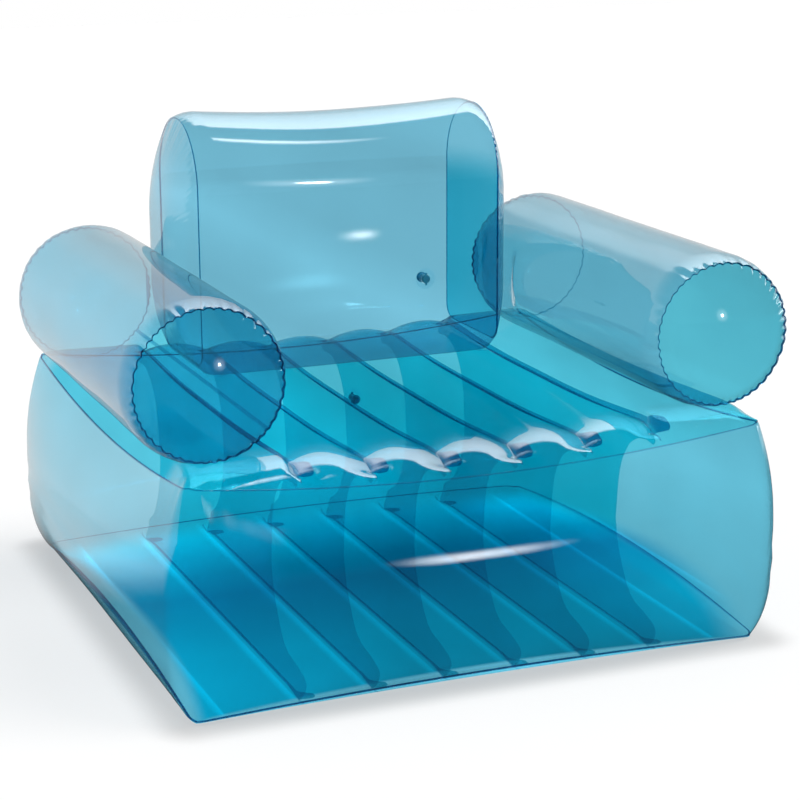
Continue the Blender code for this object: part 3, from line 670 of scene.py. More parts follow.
def cornerPucker(u, v, distance, seed):
    # small gathers where a seam turns a corner
    x, y, _ = seatPlan(u, v)
    near = cornerShare(u, v) ** 10 * math.exp(-distance / seat["cornerReach"])
    turn = math.atan2(abs(y) - deep + seat["cornerInset"], abs(x) - wide + seat["cornerInset"])
    wave = math.sin(turn * seat["cornerTurns"] + 3 * drift(x * 7, y * 7, seed))
    return seat["cornerPucker"] * near * wave * clamp(distance / seat["gatherFrom"])


def makeSeatPanel(name, lines, height, lean, upperSheet, material):
    across, along = lines
    columns, rows = len(across) + 1, len(along) + 1

    def place(column, row):
        innerColumn, innerRow = ownLine(column, across), ownLine(row, along)
        u, v = across[innerColumn], along[innerRow]
        x, y, outward = seatPlan(u, v)
        if max(abs(u), abs(v)) < 1:
            z = height(x, y, u, v)
            inset = min(wide - abs(x), deep - abs(y))
            if upperSheet:
                z += cornerPucker(u, v, inset, 3.1)
            behind = deep - abs(y)
            onLine = lineNearness(x, seat["weldLine"]) > 0 and behind > seat["notchStart"]
            onLine = onLine or upperSheet and inset < seat["seamLine"]
            matt = max(seat["topMatt"] * easeStep(*seat["topMattFrom"], behind), tabCover(x, behind))
            return Vector((x, y, z)), seat["lineWeld"] if onLine else 0, matt if upperSheet else 0
        seam = topSeam(u, v) if upperSheet else footSeam(u, v)
        upper, lower = seamWays(outward, lean)
        own, other = (upper, lower) if upperSheet else (lower, upper)
        inHem = (innerColumn, innerRow) != (column - 1, row - 1)
        return weldedEdge(Vector((x, y, seam)), own, other, film["hem"] if inHem else 0), 1.0

    return filmSheet(name, columns, rows, place, material, flip=not upperSheet)


def flattenAtValve(point, valve):
    off = math.hypot(point.x - valve[0], point.z - valve[2])
    point.y = mix(valve[1], point.y, easeStep(*valveFlat, off))


wallFold = {
    "height": 0.0011,
    "turns": 38,
    "wander": 5,
    "middle": 0.36,  # as a share of the wall's height
    "reach": 0.13,
    "onFront": 0.25,  # how strong the folds are on the front and rear, and in the middle of a side
    "onMiddle": 0.4,
}


def wallCreases(u, v, share, outward):
    # long soft folds low on the side walls, strongest towards the corners
    x, y, _ = seatPlan(u, v)
    side = abs(outward.x)
    run = y * side + x * (1 - side)
    wander = wallFold["wander"] * drift(run * 3.1, share * 2.2, 1.7 + math.copysign(1, x))
    fold = wallFold["height"] * math.sin(wallFold["turns"] * share + wander)
    low = math.exp(-((share - wallFold["middle"]) / wallFold["reach"]) ** 2)
    corner = mix(wallFold["onMiddle"], 1, cornerShare(u, v) ** 2)
    return fold * low * mix(wallFold["onFront"], 1, side) * corner


def sideStops(half):
    # along one side of the wall, closer together at its corners
    straight = half - seat["cornerRadius"]
    corner = evenStops(straight, half, seat["cornerStep"])
    return [-half] + mirrored(corner) + evenStops(-straight, straight, seat["wallStep"])[1:] + corner


def makeSeatBand():
    xs, ys = sideStops(wide), sideStops(deep)
    stations = [(x / wide, -1.0) for x in xs] + [(1.0, y / deep) for y in ys]
    stations += [(-x / wide, 1.0) for x in xs] + [(-1.0, -y / deep) for y in ys]
    count = len(stations)
    shares = roundStops(0, 1, seat["wallLevels"]) + [1.0]

    def place(column, row):
        u, v = stations[column % count]
        wallRow = ownLine(row, shares)
        share = shares[wallRow]
        x, y, outward = seatPlan(u, v)
        low, high = footSeam(u, v), topSeam(u, v)
        point = Vector((x, y, mix(low, high, share)))
        hem = film["hem"] if wallRow != row - 1 else 0
        if share == 0:
            upper, lower = seamWays(outward, seat["footLean"])
            return weldedEdge(point, upper, lower, hem), 1.0
        if share == 1:
            upper, lower = seamWays(outward, seat["topLean"])
            return weldedEdge(point, lower, upper, hem), 1.0
        bulge = mix(seat["wallBulge"], seat["cornerBulge"], cornerShare(u, v) ** 3)
        off = bulge * (1 - abs(2 * share - 1) ** (seat["wallLow"] if share < 0.5 else seat["wallHigh"]))
        fromSeam = min(share, 1 - share) * (high - low)
        off += cornerPucker(u, v, fromSeam, 8.3)
        off += wallCreases(u, v, share, outward)
        point += outward * off
        if y > deep - film["merge"]:
            flattenAtValve(point, seat["valvePlace"])
        inSeam = (1 - share) * (high - low) < seat["seamLine"]
        matt = 0
        if outward.y < -0.5:
            matt = plateau(point.z, *seat["wallMattHeights"])
            matt *= 1 - easeStep(*seat["wallMattEnds"], abs(x))
        return point, 1.0 if inSeam else 0.0, matt

    return filmSheet("seatWall", count, len(shares) + 1, place, "seatFilm")


def makeWeb(number):
    x = webPlaces[number - 1]
    tip = deep - seat["webTip"]
    reach = seat["webEndReach"]
    front = [-tip] + [y - tip for y in evenStops(seat["webEndFirst"], reach, seat["webEndStep"])]
    ys = front + evenStops(reach - tip, tip - reach, seat["webStep"]) + mirrored(front)
    levels = [1 - math.cos(math.pi * n / seat["webLevels"]) for n in range(seat["webLevels"] + 1)]
    flangeRows = seat["flangeRows"]
    rows = len(levels) - 1 + 2 * flangeRows
    below = 1.5 * film["thickness"] + film["gap"]

    def underTop(px, y):
        here = seatTop(px, y, px / wide, y / deep)
        slope = (seatTop(px + 0.001, y, (px + 0.001) / wide, y / deep) - here) / 0.001
        return here - below * math.hypot(slope, 1) - film["gap"]

    def overFloor(px, y):
        return seatUnder(px, y, px / wide, y / deep) + below

    def bodyPoint(y, level):
        depth = level if level <= 1 else 2 - level
        hollow = webHollow * readSmooth(lowerHollow if level < 1 else upperHollow, depth)
        placeY = y * (tip - hollow) / tip
        z = mix(overFloor(x, placeY), underTop(x, placeY), level / 2)
        # the lowest part leans over at its free ends and shows as a rounded foot
        lean = math.sin(math.pi * clamp(level / seat["webFootLevel"]))
        lean *= 1 - easeStep(0, seat["webFootReach"], tip - abs(y))
        return Vector((x + seat["webFoot"] * lean, placeY, z))

    def tabShare(y):
        return 1 - easeStep(seat["tabShort"], seat["tabLong"], (tip - abs(y)) / seat["tabLength"])

    def flangeWidth(y):
        # the flange widens into a rounded tab at either end of the weld
        least, full = seat["flangeEnd"]
        return mix(seat["flange"], seat["tab"], tabShare(y)) * quarterRound(tip - abs(y) + least, full)

    def place(column, row):
        y = ys[column]
        level = levels[min(max(row - flangeRows, 0), len(levels) - 1)]
        point = bodyPoint(y, level)
        if row < flangeRows:
            side = x + flangeWidth(y) * (1 - row / flangeRows)
            return Vector((side, point.y, overFloor(side, point.y))), seat["floorWeld"]
        if row >= flangeRows + len(levels):
            share = (row - flangeRows - len(levels) + 1) / flangeRows
            side = x + flangeWidth(y) * share
            ahead = seat["tabAhead"] * (1 - easeStep(0, 0.02, tip - abs(y))) * clamp(2 * share)
            placeY = point.y + math.copysign(ahead, y)
            return Vector((side, placeY, underTop(side, placeY))), mix(seat["flangeWeld"], 1.0, tabShare(y))
        return point, 0.0

    return filmSheet(f"seatWeb{number}", len(ys) - 1, rows, place, "webFilm", centred=True)


# Arm bolsters: a sleeve gathered on to two round end sheets

def armMiddle(side):
    return Vector((side * armSpacing / 2, arm["setback"] - deep + armLength / 2, armHeight))


def gather(turn, seed):
    # lobes out to 0 with sharp tucks in to -1, uneven round the ring
    size = unevenSize(0.70, 0.50, 0.25, turn, 3.1, seed + 5)
    return -size * (1 - abs(math.sin(turn * arm["puckers"] / 2 + 2.4 * ringDrift(turn, 1.7, seed))))


def wrinkle(turn, seed):
    # fewer and longer folds than the gathers
    fold = math.sin(turn * arm["puckers"] / 2 + 5 * ringDrift(turn, 2.3, seed))
    return unevenSize(0.35, 0.9, 0.05, turn, 1.3, seed + 9) * fold


def armRing(side, end, turn):
    seed = 11 + 3 * side + end
    radial = Vector((math.cos(turn), 0, math.sin(turn)))
    axial = Vector((0, end, 0))
    radius = arm["seamRadius"] + arm["pucker"] * gather(turn, seed)
    seam = armMiddle(side) + radial * radius + axial * (armLength / 2)
    return seam, radial, axial, seed


def armTurns(side):
    # even steps round the ring, with extra ones at the edges of the lap weld
    lap = arm["lapAngle"] if side < 0 else math.pi - arm["lapAngle"]
    half = arm["lapWidth"] / 2 / arm["radius"]
    edge = arm["lapStep"] / arm["radius"]
    count = arm["puckers"] * 6
    turns = [math.tau * n / count for n in range(count)]
    lapTurns = [(lap + k) % math.tau for k in (-half - edge, -half, half, half + edge)]
    clearOf = 0.3 * math.tau / count
    turns = [t for t in turns if all(abs(t - k) > clearOf for k in lapTurns)]
    return sorted(turns + lapTurns), lap % math.tau, half


def makeSleeve(word, side):
    turns, lap, half = armTurns(side)
    close = arm["closeReach"]
    near = edgeStops(arm["curl"], 20) + evenStops(arm["curl"], close, arm["closeStep"])[1:]
    middle = evenStops(close, armLength - close, arm["step"])
    places = near + middle + [armLength - d for d in reversed(near)]
    count, rows = len(turns), len(places) + 1
    lowest = armRest + skinClear
    contact = backWidth / 2 + back["sideContact"] + film["gap"]
    centre = armMiddle(side)

    def place(column, row):
        turn = turns[column % count]
        inner = ownLine(row, places)
        run = places[inner]
        if inner in (0, len(places) - 1):
            end = -1 if inner == 0 else 1
            seam, radial, axial, _ = armRing(side, end, turn)
            depth = film["hem"] if inner != row - 1 else 0
            # the rear ring's weld is painted paler, for glare
            return weldedEdge(seam, radial, axial, depth), 1.0 if end < 0 else arm["rearWeldPaintedPale"]
        end = -1 if run < armLength / 2 else 1
        fromEnd = min(run, armLength - run)
        radius = mix(arm["seamRadius"], arm["radius"], curlShare(fromEnd, arm["curl"]))
        seed = 11 + 3 * side + end
        radius += arm["pucker"] * gather(turn, seed) * math.exp(-fromEnd / arm["puckerReach"])
        fade = math.exp(-fromEnd / arm["wrinkleReach"]) * clamp(fromEnd / arm["wrinkleFrom"])
        radius += arm["wrinkle"] * wrinkle(turn, seed + 2) * fade
        radius += arm["waviness"] * drift(run * 6, math.cos(turn) * 1.2, math.sin(turn) * 1.2)
        onLap = abs((turn - lap + math.pi) % math.tau - math.pi) <= half * 1.001
        radius += arm["lapStep"] if onLap else 0
        point = Vector((math.cos(turn) * radius, run - armLength / 2, math.sin(turn) * radius)) + centre
        point.z = softMax(point.z, lowest, restSoftness)
        pressed = easeStep(*arm["backFrom"], point.y - backFront)
        inward = side * point.x
        if inward < contact:
            point.x = side * mix(inward, softMax(inward, contact, restSoftness), pressed)
        return point, arm["lapWeld"] if onLap else 0.0

    return filmSheet(f"{word}ArmSleeve", count, rows, place, "armFilm", flip=True)


def makeCap(word, side, endWord, end):
    count = arm["puckers"] * 6
    shares = ringShares(36)
    peak = armMiddle(side) + Vector((0, end * armLength / 2, 0))

    def place(column, row):
        turn = math.tau * (column % count) / count
        seam, radial, axial, seed = armRing(side, end, turn)
        if row < 2:
            # the rear ring is painted paler, for glare
            weldAndPaintedShade = 1.0 if end < 0 else arm["rearWeldPaintedPale"]
            return weldedEdge(seam, axial, radial, film["hem"] if row == 0 else 0), weldAndPaintedShade
        share = shares[row - 1]
        inset = (1 - share) * arm["seamRadius"]
        near = math.exp(-inset / arm["puckerReach"])
        reach = share * arm["seamRadius"] + ((seam - peak).length - arm["seamRadius"]) * near
        point = peak + radial * reach + axial * arm["capBulge"] * (1 - share ** arm["capPower"])
        way = (radial + axial).normalized()
        tuck = endTuck * arm["pucker"] * gather(turn, seed)
        point += way * tuck * near * clamp(inset / tuckFrom)
        fade = math.exp(-inset / arm["wrinkleReach"]) * clamp(inset / arm["wrinkleFrom"])
        fade *= easeStep(*arm["capWrinkles"], share)
        point += way * arm["wrinkle"] * wrinkle(turn, seed + 4) * fade
        matt = (1 - easeStep(*arm["capMattTop"], point.z - peak.z)) * (1 - easeStep(*arm["capRim"], share))
        return point, 0.0, matt if end < 0 else 0

    # the front caps take the clearer copy, with its painted light
    material = "capFilmPaintedLight" if end < 0 else "armFilm"
    return filmSheet(f"{word}Arm{endWord}Cap", count, len(shares), place, material, flip=end > 0)


# Backrest: a strip round the outline and two bulging end sheets

def backOutline():
    front, rear = backFront, backFront + back["depth"]
    foot = backRest + back["footDrop"]
    topRadius = back["depth"] / 2
    spring = foot + back["height"] - topRadius
    radius = back["footRadius"]
    stations = []

    def arc(middleY, middleZ, arcRadius, start, end, steps):
        for n in range(steps):
            angle = math.radians(mix(start, end, n / steps))
            way = Vector((0, math.cos(angle), math.sin(angle)))
            stations.append((Vector((0, middleY, middleZ)) + way * arcRadius, way, "corner"))

    def run(start, end, way, steps, kind):
        for n in range(steps):
            stations.append((start.lerp(end, n / steps), way, kind))

    low, high = foot + radius, spring
    arc(front + radius, foot + radius, radius, 270, 180, 20)
    run(Vector((0, front, low)), Vector((0, front, high)), Vector((0, -1, 0)), 100, "face")
    arc((front + rear) / 2, spring, topRadius, 180, 0, 140)
    run(Vector((0, rear, high)), Vector((0, rear, low)), Vector((0, 1, 0)), 100, "face")
    arc(rear - radius, foot + radius, radius, 0, -90, 20)
    run(Vector((0, rear - radius, foot)), Vector((0, front + radius, foot)), -up, 60, "foot")
    lengths = [0.0]
    for (a, _, _), (b, _, _) in zip(stations, stations[1:]):
        lengths.append(lengths[-1] + (b - a).length)
    total = lengths[-1] + (stations[0][0] - stations[-1][0]).length
    return [station + (length / total,) for station, length in zip(stations, lengths)], total


outline, outlineLength = backOutline()


def backGather(share, side):
    turn = math.tau * share
    count = round(outlineLength / back["puckerPitch"])
    wobble = ringDrift(turn, 2.6, 21 + side)
    size = unevenSize(0.45, 0.9, 0.1, turn, 4, 31 + side)
    return -size * (1 - abs(math.sin(turn * count / 2 + 3 * wobble)))


def backSwell(point, way, x):
    half = backWidth / 2
    curl = curlShare(half - abs(x), back["curl"])
    middle = 1 - (x / half) ** 2
    foot = backRest + back["footDrop"]
    upShare = clamp((point.z - foot) / back["height"])
    face = back["faceBulge"] * middle * math.sin(math.pi * upShare ** back["faceLow"]) * abs(way.y)
    sag = back["topSag"] * middle * max(way.z, 0) ** 2
    # the underside is pushed down on to the seat, more and more round its corners
    footPush = back["footDrop"] * curl * clamp(-way.z) ** 3
    return back["swell"] * curl + face - sag + footPush


def makeBackWrap():
    half = backWidth / 2
    rim = [d - half for d in edgeStops(back["curl"], 16)]
    lines = rim + evenStops(back["curl"] - half, half - back["curl"], back["step"])[1:] + mirrored(rim)
    count = len(outline)
    lowest = backRest + skinClear

    def place(column, row):
        seam, way, kind, share = outline[column % count]
        line = ownLine(row, lines)
        x = lines[line]
        side = math.copysign(1, x)
        fromEnd = half - abs(x)
        tuck = back["pucker"] * backGather(share, side)
        if line in (0, len(lines) - 1):
            depth = film["hem"] if line != row - 1 else 0
            edge = seam + Vector((x, 0, 0)) + way * tuck
            return weldedEdge(edge, way, Vector((side, 0, 0)), depth), 1.0
        swell = backSwell(seam, way, x)
        swell += tuck * math.exp(-fromEnd / back["puckerReach"])
        swell += back["waviness"] * drift(x * 5, seam.y * 5, seam.z * 5)
        point = seam + Vector((x, 0, 0)) + way * swell
        point.z = softMax(point.z, lowest, restSoftness)
        if way.y < -0.5:
            flattenAtValve(point, back["valvePlace"])
        if kind != "face":
            return point, 0.0
        matt = 1 - easeStep(*back["frontMattTop"], point.z)
        if way.y > 0:
            return point, 0.0, matt * easeStep(*back["rearMattFoot"], point.z)
        (middleX, middleZ), (reachX, reachZ) = back["dash"], back["dashReach"]
        off = ((point.x - middleX) / reachX) ** 2 + ((point.z - middleZ) / reachZ) ** 2
        return point, 0.0, matt * (1 - math.exp(-off))

    return filmSheet("backrestWrap", count, len(lines) + 1, place, "backFilm", flip=True)


def makeBackEnd(word, side):
    half = backWidth / 2
    count = len(outline)
    middleZ = backRest + back["footDrop"] + back["height"] / 2
    peak = Vector((side * half, backFront + back["depth"] / 2, middleZ))
    contact = half + back["sideContact"] - film["gap"]
    shares = ringShares(30)

    def place(column, row):
        seam, way, kind, share = outline[column % count]
        tuck = back["pucker"] * backGather(share, side)
        edge = seam + Vector((side * half, 0, 0)) + way * tuck
        endWay = Vector((side, 0, 0))
        if row < 2:
            return weldedEdge(edge, endWay, way, film["hem"] if row == 0 else 0), 1.0
        ring = shares[row - 1]
        point = peak + (edge - peak) * ring + endWay * back["endBulge"] * (1 - ring ** back["endPower"])
        inset = (1 - ring) * back["depth"] / 2
        slant = (way + endWay).normalized()
        turn = math.tau * share
        fold = math.sin(turn * back["folds"] + 4 * ringDrift(turn, 2, 41 + side))
        fold *= back["fold"] * unevenSize(0.4, 0.9, 0.05, turn, 1.6, 51 + side)
        point += slant * fold * math.exp(-inset / back["foldReach"]) * clamp(inset / back["foldFrom"]) * ring
        tuck *= endTuck * math.exp(-inset / back["puckerReach"]) * clamp(inset / tuckFrom)
        point += slant * tuck
        point.x = side * softMin(side * point.x, contact, back["endGap"])
        # painted shade on the right end below the arm's height, carried in the weld attribute
        paintedShade = back["rightEndPaintedShade"] * (1 - easeStep(*back["rightEndPaintedShadeTop"], point.z))
        return point, paintedShade if side > 0 else 0

    return filmSheet(f"backrest{word}End", count, len(shares), place, "backFilm", flip=side > 0)


# Every piece of film, made in turn, and the solid that it stands for

pieces = {}
pieces["seat_top_panel"] = makeSeatPanel(
    "seatTop", seatLines(22, 34, 0.009), seatTop, seat["topLean"], True, "topFilm")
pieces["seat_bottom_panel"] = makeSeatPanel(
    "seatBottom", seatLines(12, 18, 0.018), seatUnder, seat["footLean"], False, "bottomFilm")
pieces["seat_side_band"] = makeSeatBand()
print("seat sheets made")
for number in range(1, seat["webCount"] + 1):
    pieces[f"seat_web_{number}"] = makeWeb(number)
print("webs made")
for word, side in (("left", -1), ("right", 1)):
    pieces[f"{word}_arm_sleeve"] = makeSleeve(word, side)
    for endWord, end in (("Front", -1), ("Rear", 1)):
        pieces[f"{word}_arm_{endWord.lower()}_cap"] = makeCap(word, side, endWord, end)
print("arms made")
pieces["backrest_wrap"] = makeBackWrap()
pieces["backrest_left_end"] = makeBackEnd("Left", -1)
pieces["backrest_right_end"] = makeBackEnd("Right", 1)
print("backrest made")
for node, piece in pieces.items():
    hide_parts(node)


valveHole = (0.009, 0.02)  # radius and depth of the cut


def cutValveHole(piece, valve):
    cutter = addObject("cutter", bpy.ops.mesh.primitive_cylinder_add, vertices=48, radius=valveHole[0],
                       depth=valveHole[1], location=valve, rotation=(math.pi / 2, 0, 0))
    hole = piece.modifiers.new("hole", "BOOLEAN")
    hole.operation = "DIFFERENCE"
    hole.solver = "EXACT"
    hole.object = cutter
    applyModifier(piece, hole)
    bpy.data.objects.remove(cutter, do_unlink=True)


cutValveHole(pieces["backrest_wrap"], back["valvePlace"])
cutValveHole(pieces["seat_side_band"], seat["valvePlace"])
print("valve holes cut")


# Valves and patches keep their own solids

vinylLook = {
    "roughness": 0.18,
    "ior": 1.5,
    "clearness": 0.6,
    "cloudScale": 180.0,
    "colours": ((0.04, 0.48, 0.70, 1), (0.08, 0.58, 0.80, 1)),
}


def vinylMaterial():
    material = bpy.data.materials.new("valveVinyl")
    material.use_nodes = True
    tree = material.node_tree
    shader = tree.nodes["Principled BSDF"]
    shader.inputs["Roughness"].default_value = vinylLook["roughness"]
    shader.inputs["Transmission Weight"].default_value = vinylLook["clearness"]
    shader.inputs["IOR"].default_value = vinylLook["ior"]
    patchy = clouds(tree, objectPlace(tree), vinylLook["cloudScale"], 2)
    colour = mixNode(tree, patchy, *vinylLook["colours"], data_type="RGBA")
    tree.links.new(colour, shader.inputs["Base Color"])
    return material


vinyl = vinylMaterial()
for name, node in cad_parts.items():
    if name in pieces:
        continue
    node.data.materials.clear()
    isFilm = name.endswith(("_patch", "_flange", "_flap"))
    node.data.materials.append(films["patchFilm"] if isFilm else vinyl)


# Floor, lamps, backdrop and camera

stage = {
    "floorSize": 24.0,
    "floorHeight": -0.0005,
    "floorGlow": 0.53,
    "floorColour": (0.50, 0.50, 0.50, 1),
    # painted light and shade on the floor under the chair, for the light that has all passed the film: its
    # colour from front to rear
    "filteredMost": 3.0,
    "filteredAlong": (
        (-0.485, (0.003, 0.53, 0.64)), (-0.2, (0.003, 0.56, 0.69)), (0.08, (0.003, 0.42, 0.59)),
        (0.2, (0.004, 0.60, 0.76)), (0.3, (0.005, 0.95, 1.10)), (0.36, (0.006, 1.20, 1.32)),
        (0.42, (0.008, 1.35, 1.42)), (0.485, (0.012, 1.45, 1.50))),
    # and its brightness from left to right
    "filteredAcross": ((-0.5, 1.5), (-0.38, 1.3), (-0.24, 1.12), (-0.1, 0.95), (0.1, 0.85), (0.3, 0.85),
                       (0.5, 1.15)),
    # its sides: axis, way, distance, how far the middle bows out and the softness of the edge
    "filteredSides": (("X", 1, 0.50, 0.12, 0.09), ("X", -1, 0.50, -0.05, 0.03),
                      ("Y", 1, 0.48, 0.06, 0.13), ("Y", -1, 0.475, -0.05, 0.015)),
    # painted light and shade: how bright the white floor is when seen through film, from left to right
    "seenFrom": -0.5,
    "seenTo": 2.5,
    "seenThrough": ((-0.5, 1.0), (-0.2, 1.0), (0.08, 1.2), (0.25, 1.14), (0.42, 0.86), (0.60, 0.83),
                    (0.95, 1.02), (1.25, 0.85), (2.1, 0.82), (2.5, 0.92)),
    "contactShade": 0.30,  # painted contact shade: the floor darkens towards the chair's foot
    "contactReach": 0.09,
    "causticStart": -0.013,  # painted light, for the light gathered beside each weld line of the underside
    "causticEnd": -0.002,
    "causticStrength": 0.40,
    "causticFade": 0.02,  # as a share of the webs' spacing
    "mirroredFront": 0.03,  # how bright the floor is in reflections, before and behind the chair
    "mirroredRear": 0.85,
    "mirroredLeft": 0.75,
    "mirrorTurns": (0.1, 1.1),  # over what stretch of its depth or width that changes
    "mirrorLeftTurns": (-0.62, -0.50),
    "mirrorSideTurns": (0.0, 0.45),
    "sunStrength": 2.6,
    "sunAngle": math.radians(28),
    "sunFrom": (1.6, -0.7, 2.2),
    "airLight": 0.35,
}


soft = {"interpolation_type": "SMOOTHSTEP"}


def mirroredLevel(tree, x, y):
    # how bright the floor is in reflections: more so behind the chair, and to its left
    rear = mapRange(tree, y, *stage["mirrorTurns"], stage["mirroredFront"], stage["mirroredRear"], **soft)
    beside = mapRange(tree, x, *stage["mirrorLeftTurns"], stage["mirroredLeft"], 0, **soft)
    besideRear = mapRange(tree, y, *stage["mirrorSideTurns"], **soft)
    return calc(tree, "MAXIMUM", rear, calc(tree, "MULTIPLY", beside, besideRear))


def outsidePaintedLight(tree, place, parts):
    # 0 on the patch of painted coloured light under the chair and 1 outside its four bowed and soft sides
    inShares = vectorCalc(tree, "DIVIDE", place, (wide, deep, 1))
    squared = split(tree, vectorCalc(tree, "MULTIPLY", inShares, inShares))
    farthest = None
    for axis, sign, half, bow, softness in stage["filteredSides"]:
        # how far a place lies past this side, as a share of the side's soft edge
        start = half - softness
        limit = mapRange(tree, squared["Y" if axis == "X" else "X"], 0, 1, start + bow, start)
        limit = calc(tree, "MULTIPLY", limit, -1 / softness)
        past = calc(tree, "MULTIPLY_ADD", parts[axis], sign / softness, limit)
        farthest = past if farthest is None else calc(tree, "MAXIMUM", farthest, past)
    return mapRange(tree, farthest, 0, 1, **soft)


def contactShade(tree, place):
    # the floor's level, with painted contact shade that sinks towards the chair's foot
    past = vectorCalc(tree, "SUBTRACT", vectorCalc(tree, "ABSOLUTE", place), (wide, deep, 0))
    distance = vectorCalc(tree, "LENGTH", vectorCalc(tree, "MAXIMUM", past, (0, 0, 0)))
    return mapRange(tree, distance, 0, stage["contactReach"], 1 - stage["contactShade"], 1,
                    interpolation_type="SMOOTHERSTEP")


def seenLevel(tree, x):
    # the painted brightness of the white floor where it is seen through film
    low, high = stage["seenFrom"], stage["seenTo"]
    pairs = [((at - low) / (high - low), level) for at, level in stage["seenThrough"]]
    return calc(tree, "MULTIPLY", ramp(tree, mapRange(tree, x, low, high), pairs, 2), 2)


def paintedLightColour(tree, parts):
    # the painted light under the chair, by its place from front to rear and from left to right, with a
    # painted bright line beside each weld line
    spacing = seat["webSpacing"]
    lineShare = mapRange(tree, parts["X"], -webReach - spacing / 2, spacing / 2 - webReach, clamp=False)
    start, end = (0.5 + stage[key] / spacing for key in ("causticStart", "causticEnd"))
    bright, fade = 1 + stage["causticStrength"], stage["causticFade"]
    pairs = ((start - 1.5 * fade, 1), (end - fade, bright), (end, bright), (end + fade, 1))
    gathered = ramp(tree, calc(tree, "FRACT", lineShare), pairs, bright)
    pairs = [(y / deep / 2 + 0.5, colour) for y, colour in stage["filteredAlong"]]
    along = ramp(tree, mapRange(tree, parts["Y"], -deep, deep), pairs, stage["filteredMost"])
    pairs = [(x + 0.5, level) for x, level in stage["filteredAcross"]]
    across = ramp(tree, calc(tree, "ADD", parts["X"], 0.5), pairs, 2)
    bothWays = vectorCalc(tree, "MULTIPLY", along, across)
    withLines = vectorCalc(tree, "MULTIPLY", bothWays, gathered)
    return scaleBy(tree, withLines, stage["filteredMost"] * 2 * bright)


def makeFloor():
    floor = addObject("floor", bpy.ops.mesh.primitive_plane_add, size=stage["floorSize"],
                      location=(0, 0, stage["floorHeight"]))
    material, tree = newMaterial("paleFloor")
    place = objectPlace(tree)
    parts = split(tree, place)
    ray = rays(tree)
    # the painted light patch, and the painted level of the white floor, show only through film
    filmed = calc(tree, "GREATER_THAN", ray["Transparent Depth"], 0.5)
    bare = calc(tree, "SUBTRACT", 1, filmed)
    plainShare = calc(tree, "MAXIMUM", outsidePaintedLight(tree, place, parts), bare)
    plain = mixNode(tree, filmed, contactShade(tree, place), seenLevel(tree, parts["X"]))
    colour = mixNode(tree, plainShare, paintedLightColour(tree, parts), plain, data_type="RGBA")

    # the floor's own light is for what sees it, and its shadow comes from the matt share
    mirrored = mirroredLevel(tree, parts["X"], parts["Y"])
    strength = mixNode(tree, ray["Is Glossy Ray"], stage["floorGlow"], mirrored)
    shown = calc(tree, "MAXIMUM", ray["Is Camera Ray"], ray["Is Glossy Ray"])
    shown = calc(tree, "MAXIMUM", shown, ray["Is Transmission Ray"])
    glow = emission(tree, {"Strength": calc(tree, "MULTIPLY", shown, strength), "Color": colour})
    mattColour = mixNode(tree, 1, stage["floorColour"], colour, data_type="RGBA", blend_type="MULTIPLY")
    matt = bsdf(tree, "Diffuse", {"Color": mattColour})
    dark = bsdf(tree, "Diffuse", {"Color": (0, 0, 0, 1)})
    whole = addShader(tree, glow, mixShader(tree, ray["Is Glossy Ray"], matt, dark))
    addNode(tree, "ShaderNodeOutputMaterial", {"Surface": whole})
    floor.data.materials.append(material)


def makeSun():
    sun = addObject("softSun", bpy.ops.object.light_add, type="SUN", location=stage["sunFrom"])
    sun.rotation_euler = Vector(stage["sunFrom"]).to_track_quat("Z", "Y").to_euler()
    sun.data.energy = stage["sunStrength"]
    sun.data.angle = stage["sunAngle"]
    sun.visible_glossy = False


softboxes = {
    # place, what it points at, width, height and strength at its middle
    "overhead": ((0.58, -0.05, 3.0), (-0.1, 0.1, 0.8), 0.40, 0.75, 8.0),
    "frontSpot": ((2.04, -7.14, 2.26), (0.0, -0.5, 0.55), 0.55, 0.55, 60.0),
    "spotHalo": ((2.04, -7.14, 2.25), (0.0, -0.5, 0.55), 2.2, 2.2, 3.0),
    "frontStrip": ((1.95, -5.4, 0.42), (0.0, -0.4, 0.3), 1.10, 0.95, 12.0),
}


def makeSoftbox(name):
    where, target, width, height, strength = softboxes[name]
    box = addObject(name, bpy.ops.mesh.primitive_plane_add, size=1, location=where)
    box.scale = (width, height, 1)
    box.rotation_euler = (Vector(where) - Vector(target)).to_track_quat("Z", "Y").to_euler()
    material, tree = newMaterial(name)
    fromMiddle = vectorCalc(tree, "LENGTH", objectPlace(tree))
    strength = mapRange(tree, fromMiddle, 0, 0.5, strength, 0, **soft)
    glow = emission(tree, {"Strength": strength})
    whole = addShader(tree, glow, bsdf(tree, "Transparent", {}))
    addNode(tree, "ShaderNodeOutputMaterial", {"Surface": whole})
    box.data.materials.append(material)
    box.visible_camera = False
    box.visible_diffuse = False
    box.visible_shadow = False
    box.visible_transmission = False


backdrop = {
    # brightness in reflections by degrees from level behind the chair, over the top, to its front
    "most": 6.0,
    "around": ((0.0, 0.85), (14.0, 0.74), (28.0, 0.70), (38.0, 0.40), (52.0, 0.08), (71.0, 0.04),
               (180.0, 0.03)),
    "ceiling": ((14.0, 0.0), (24.0, 0.20), (36.0, 1.3), (48.0, 2.6), (58.0, 3.9), (66.0, 4.5), (69.0, 0.0)),
    "ceilingFrom": -0.12,  # the bright part of the ceiling starts this far to the left
    "ceilingTo": 0.02,
}


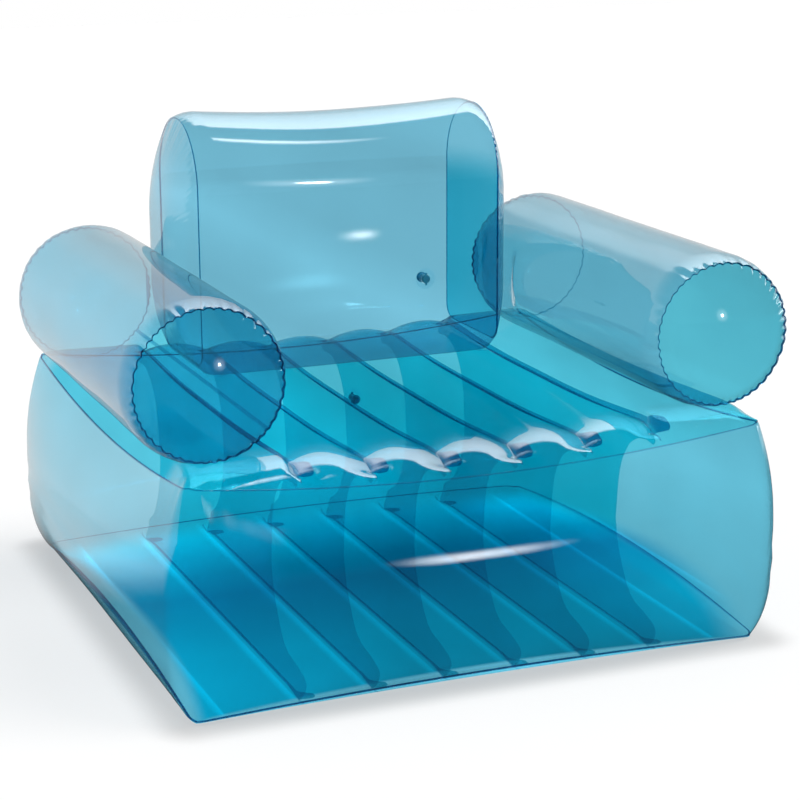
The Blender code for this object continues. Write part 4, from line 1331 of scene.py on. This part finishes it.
def makeWorld():
    world = bpy.data.worlds.new("studio")
    bpy.context.scene.world = world
    world.use_nodes = True
    tree = world.node_tree
    tree.nodes.clear()
    way = split(tree, addNode(tree, "ShaderNodeTexCoord").outputs["Generated"])
    height = calc(tree, "MAXIMUM", way["Z"], 0)
    share = calc(tree, "DIVIDE", calc(tree, "ARCTAN2", height, way["Y"]), math.pi, use_clamp=True)
    around, ceiling = (
        ramp(tree, share, [(degrees / 180, level) for degrees, level in backdrop[part]], backdrop["most"])
        for part in ("around", "ceiling"))
    side = mapRange(tree, way["X"], backdrop["ceilingFrom"], backdrop["ceilingTo"], **soft)
    level = calc(tree, "MULTIPLY_ADD", side, ceiling, around)
    level = calc(tree, "MULTIPLY", level, backdrop["most"])
    ray = rays(tree)
    seen = calc(tree, "MAXIMUM", ray["Is Camera Ray"], ray["Is Transmission Ray"])
    plain = mixNode(tree, seen, stage["airLight"], 1)
    strength = mixNode(tree, ray["Is Glossy Ray"], plain, level)
    sky = addNode(tree, "ShaderNodeBackground", {"Color": (1, 1, 1, 1), "Strength": strength})
    addNode(tree, "ShaderNodeOutputWorld", {"Surface": sky.outputs["Background"]})


view = {
    "place": (-1.390, -3.556, 1.342),
    "turn": math.radians(21.96),
    "tilt": math.radians(14.49),
    "roll": math.radians(-0.32),
    "lens": 99.56,
    "sensor": 36.0,
}


def makeCamera():
    data = bpy.data.cameras.new("camera")
    data.lens = view["lens"]
    data.sensor_width = view["sensor"]
    camera = bpy.data.objects.new("camera", data)
    bpy.context.scene.collection.objects.link(camera)
    turn, tilt = view["turn"], view["tilt"]
    ahead = Vector((math.sin(turn) * math.cos(tilt), math.cos(turn) * math.cos(tilt), -math.sin(tilt)))
    aim = ahead.to_track_quat("-Z", "Y") @ Quaternion((0, 0, 1), view["roll"])
    camera.rotation_euler = aim.to_euler()
    camera.location = view["place"]
    bpy.context.scene.camera = camera


makeFloor()
makeSun()
for name in softboxes:
    makeSoftbox(name)
makeWorld()
makeCamera()
bpy.context.scene.view_settings.view_transform = "Standard"
bpy.context.scene.cycles.transparent_max_bounces = 96
print("stage made")
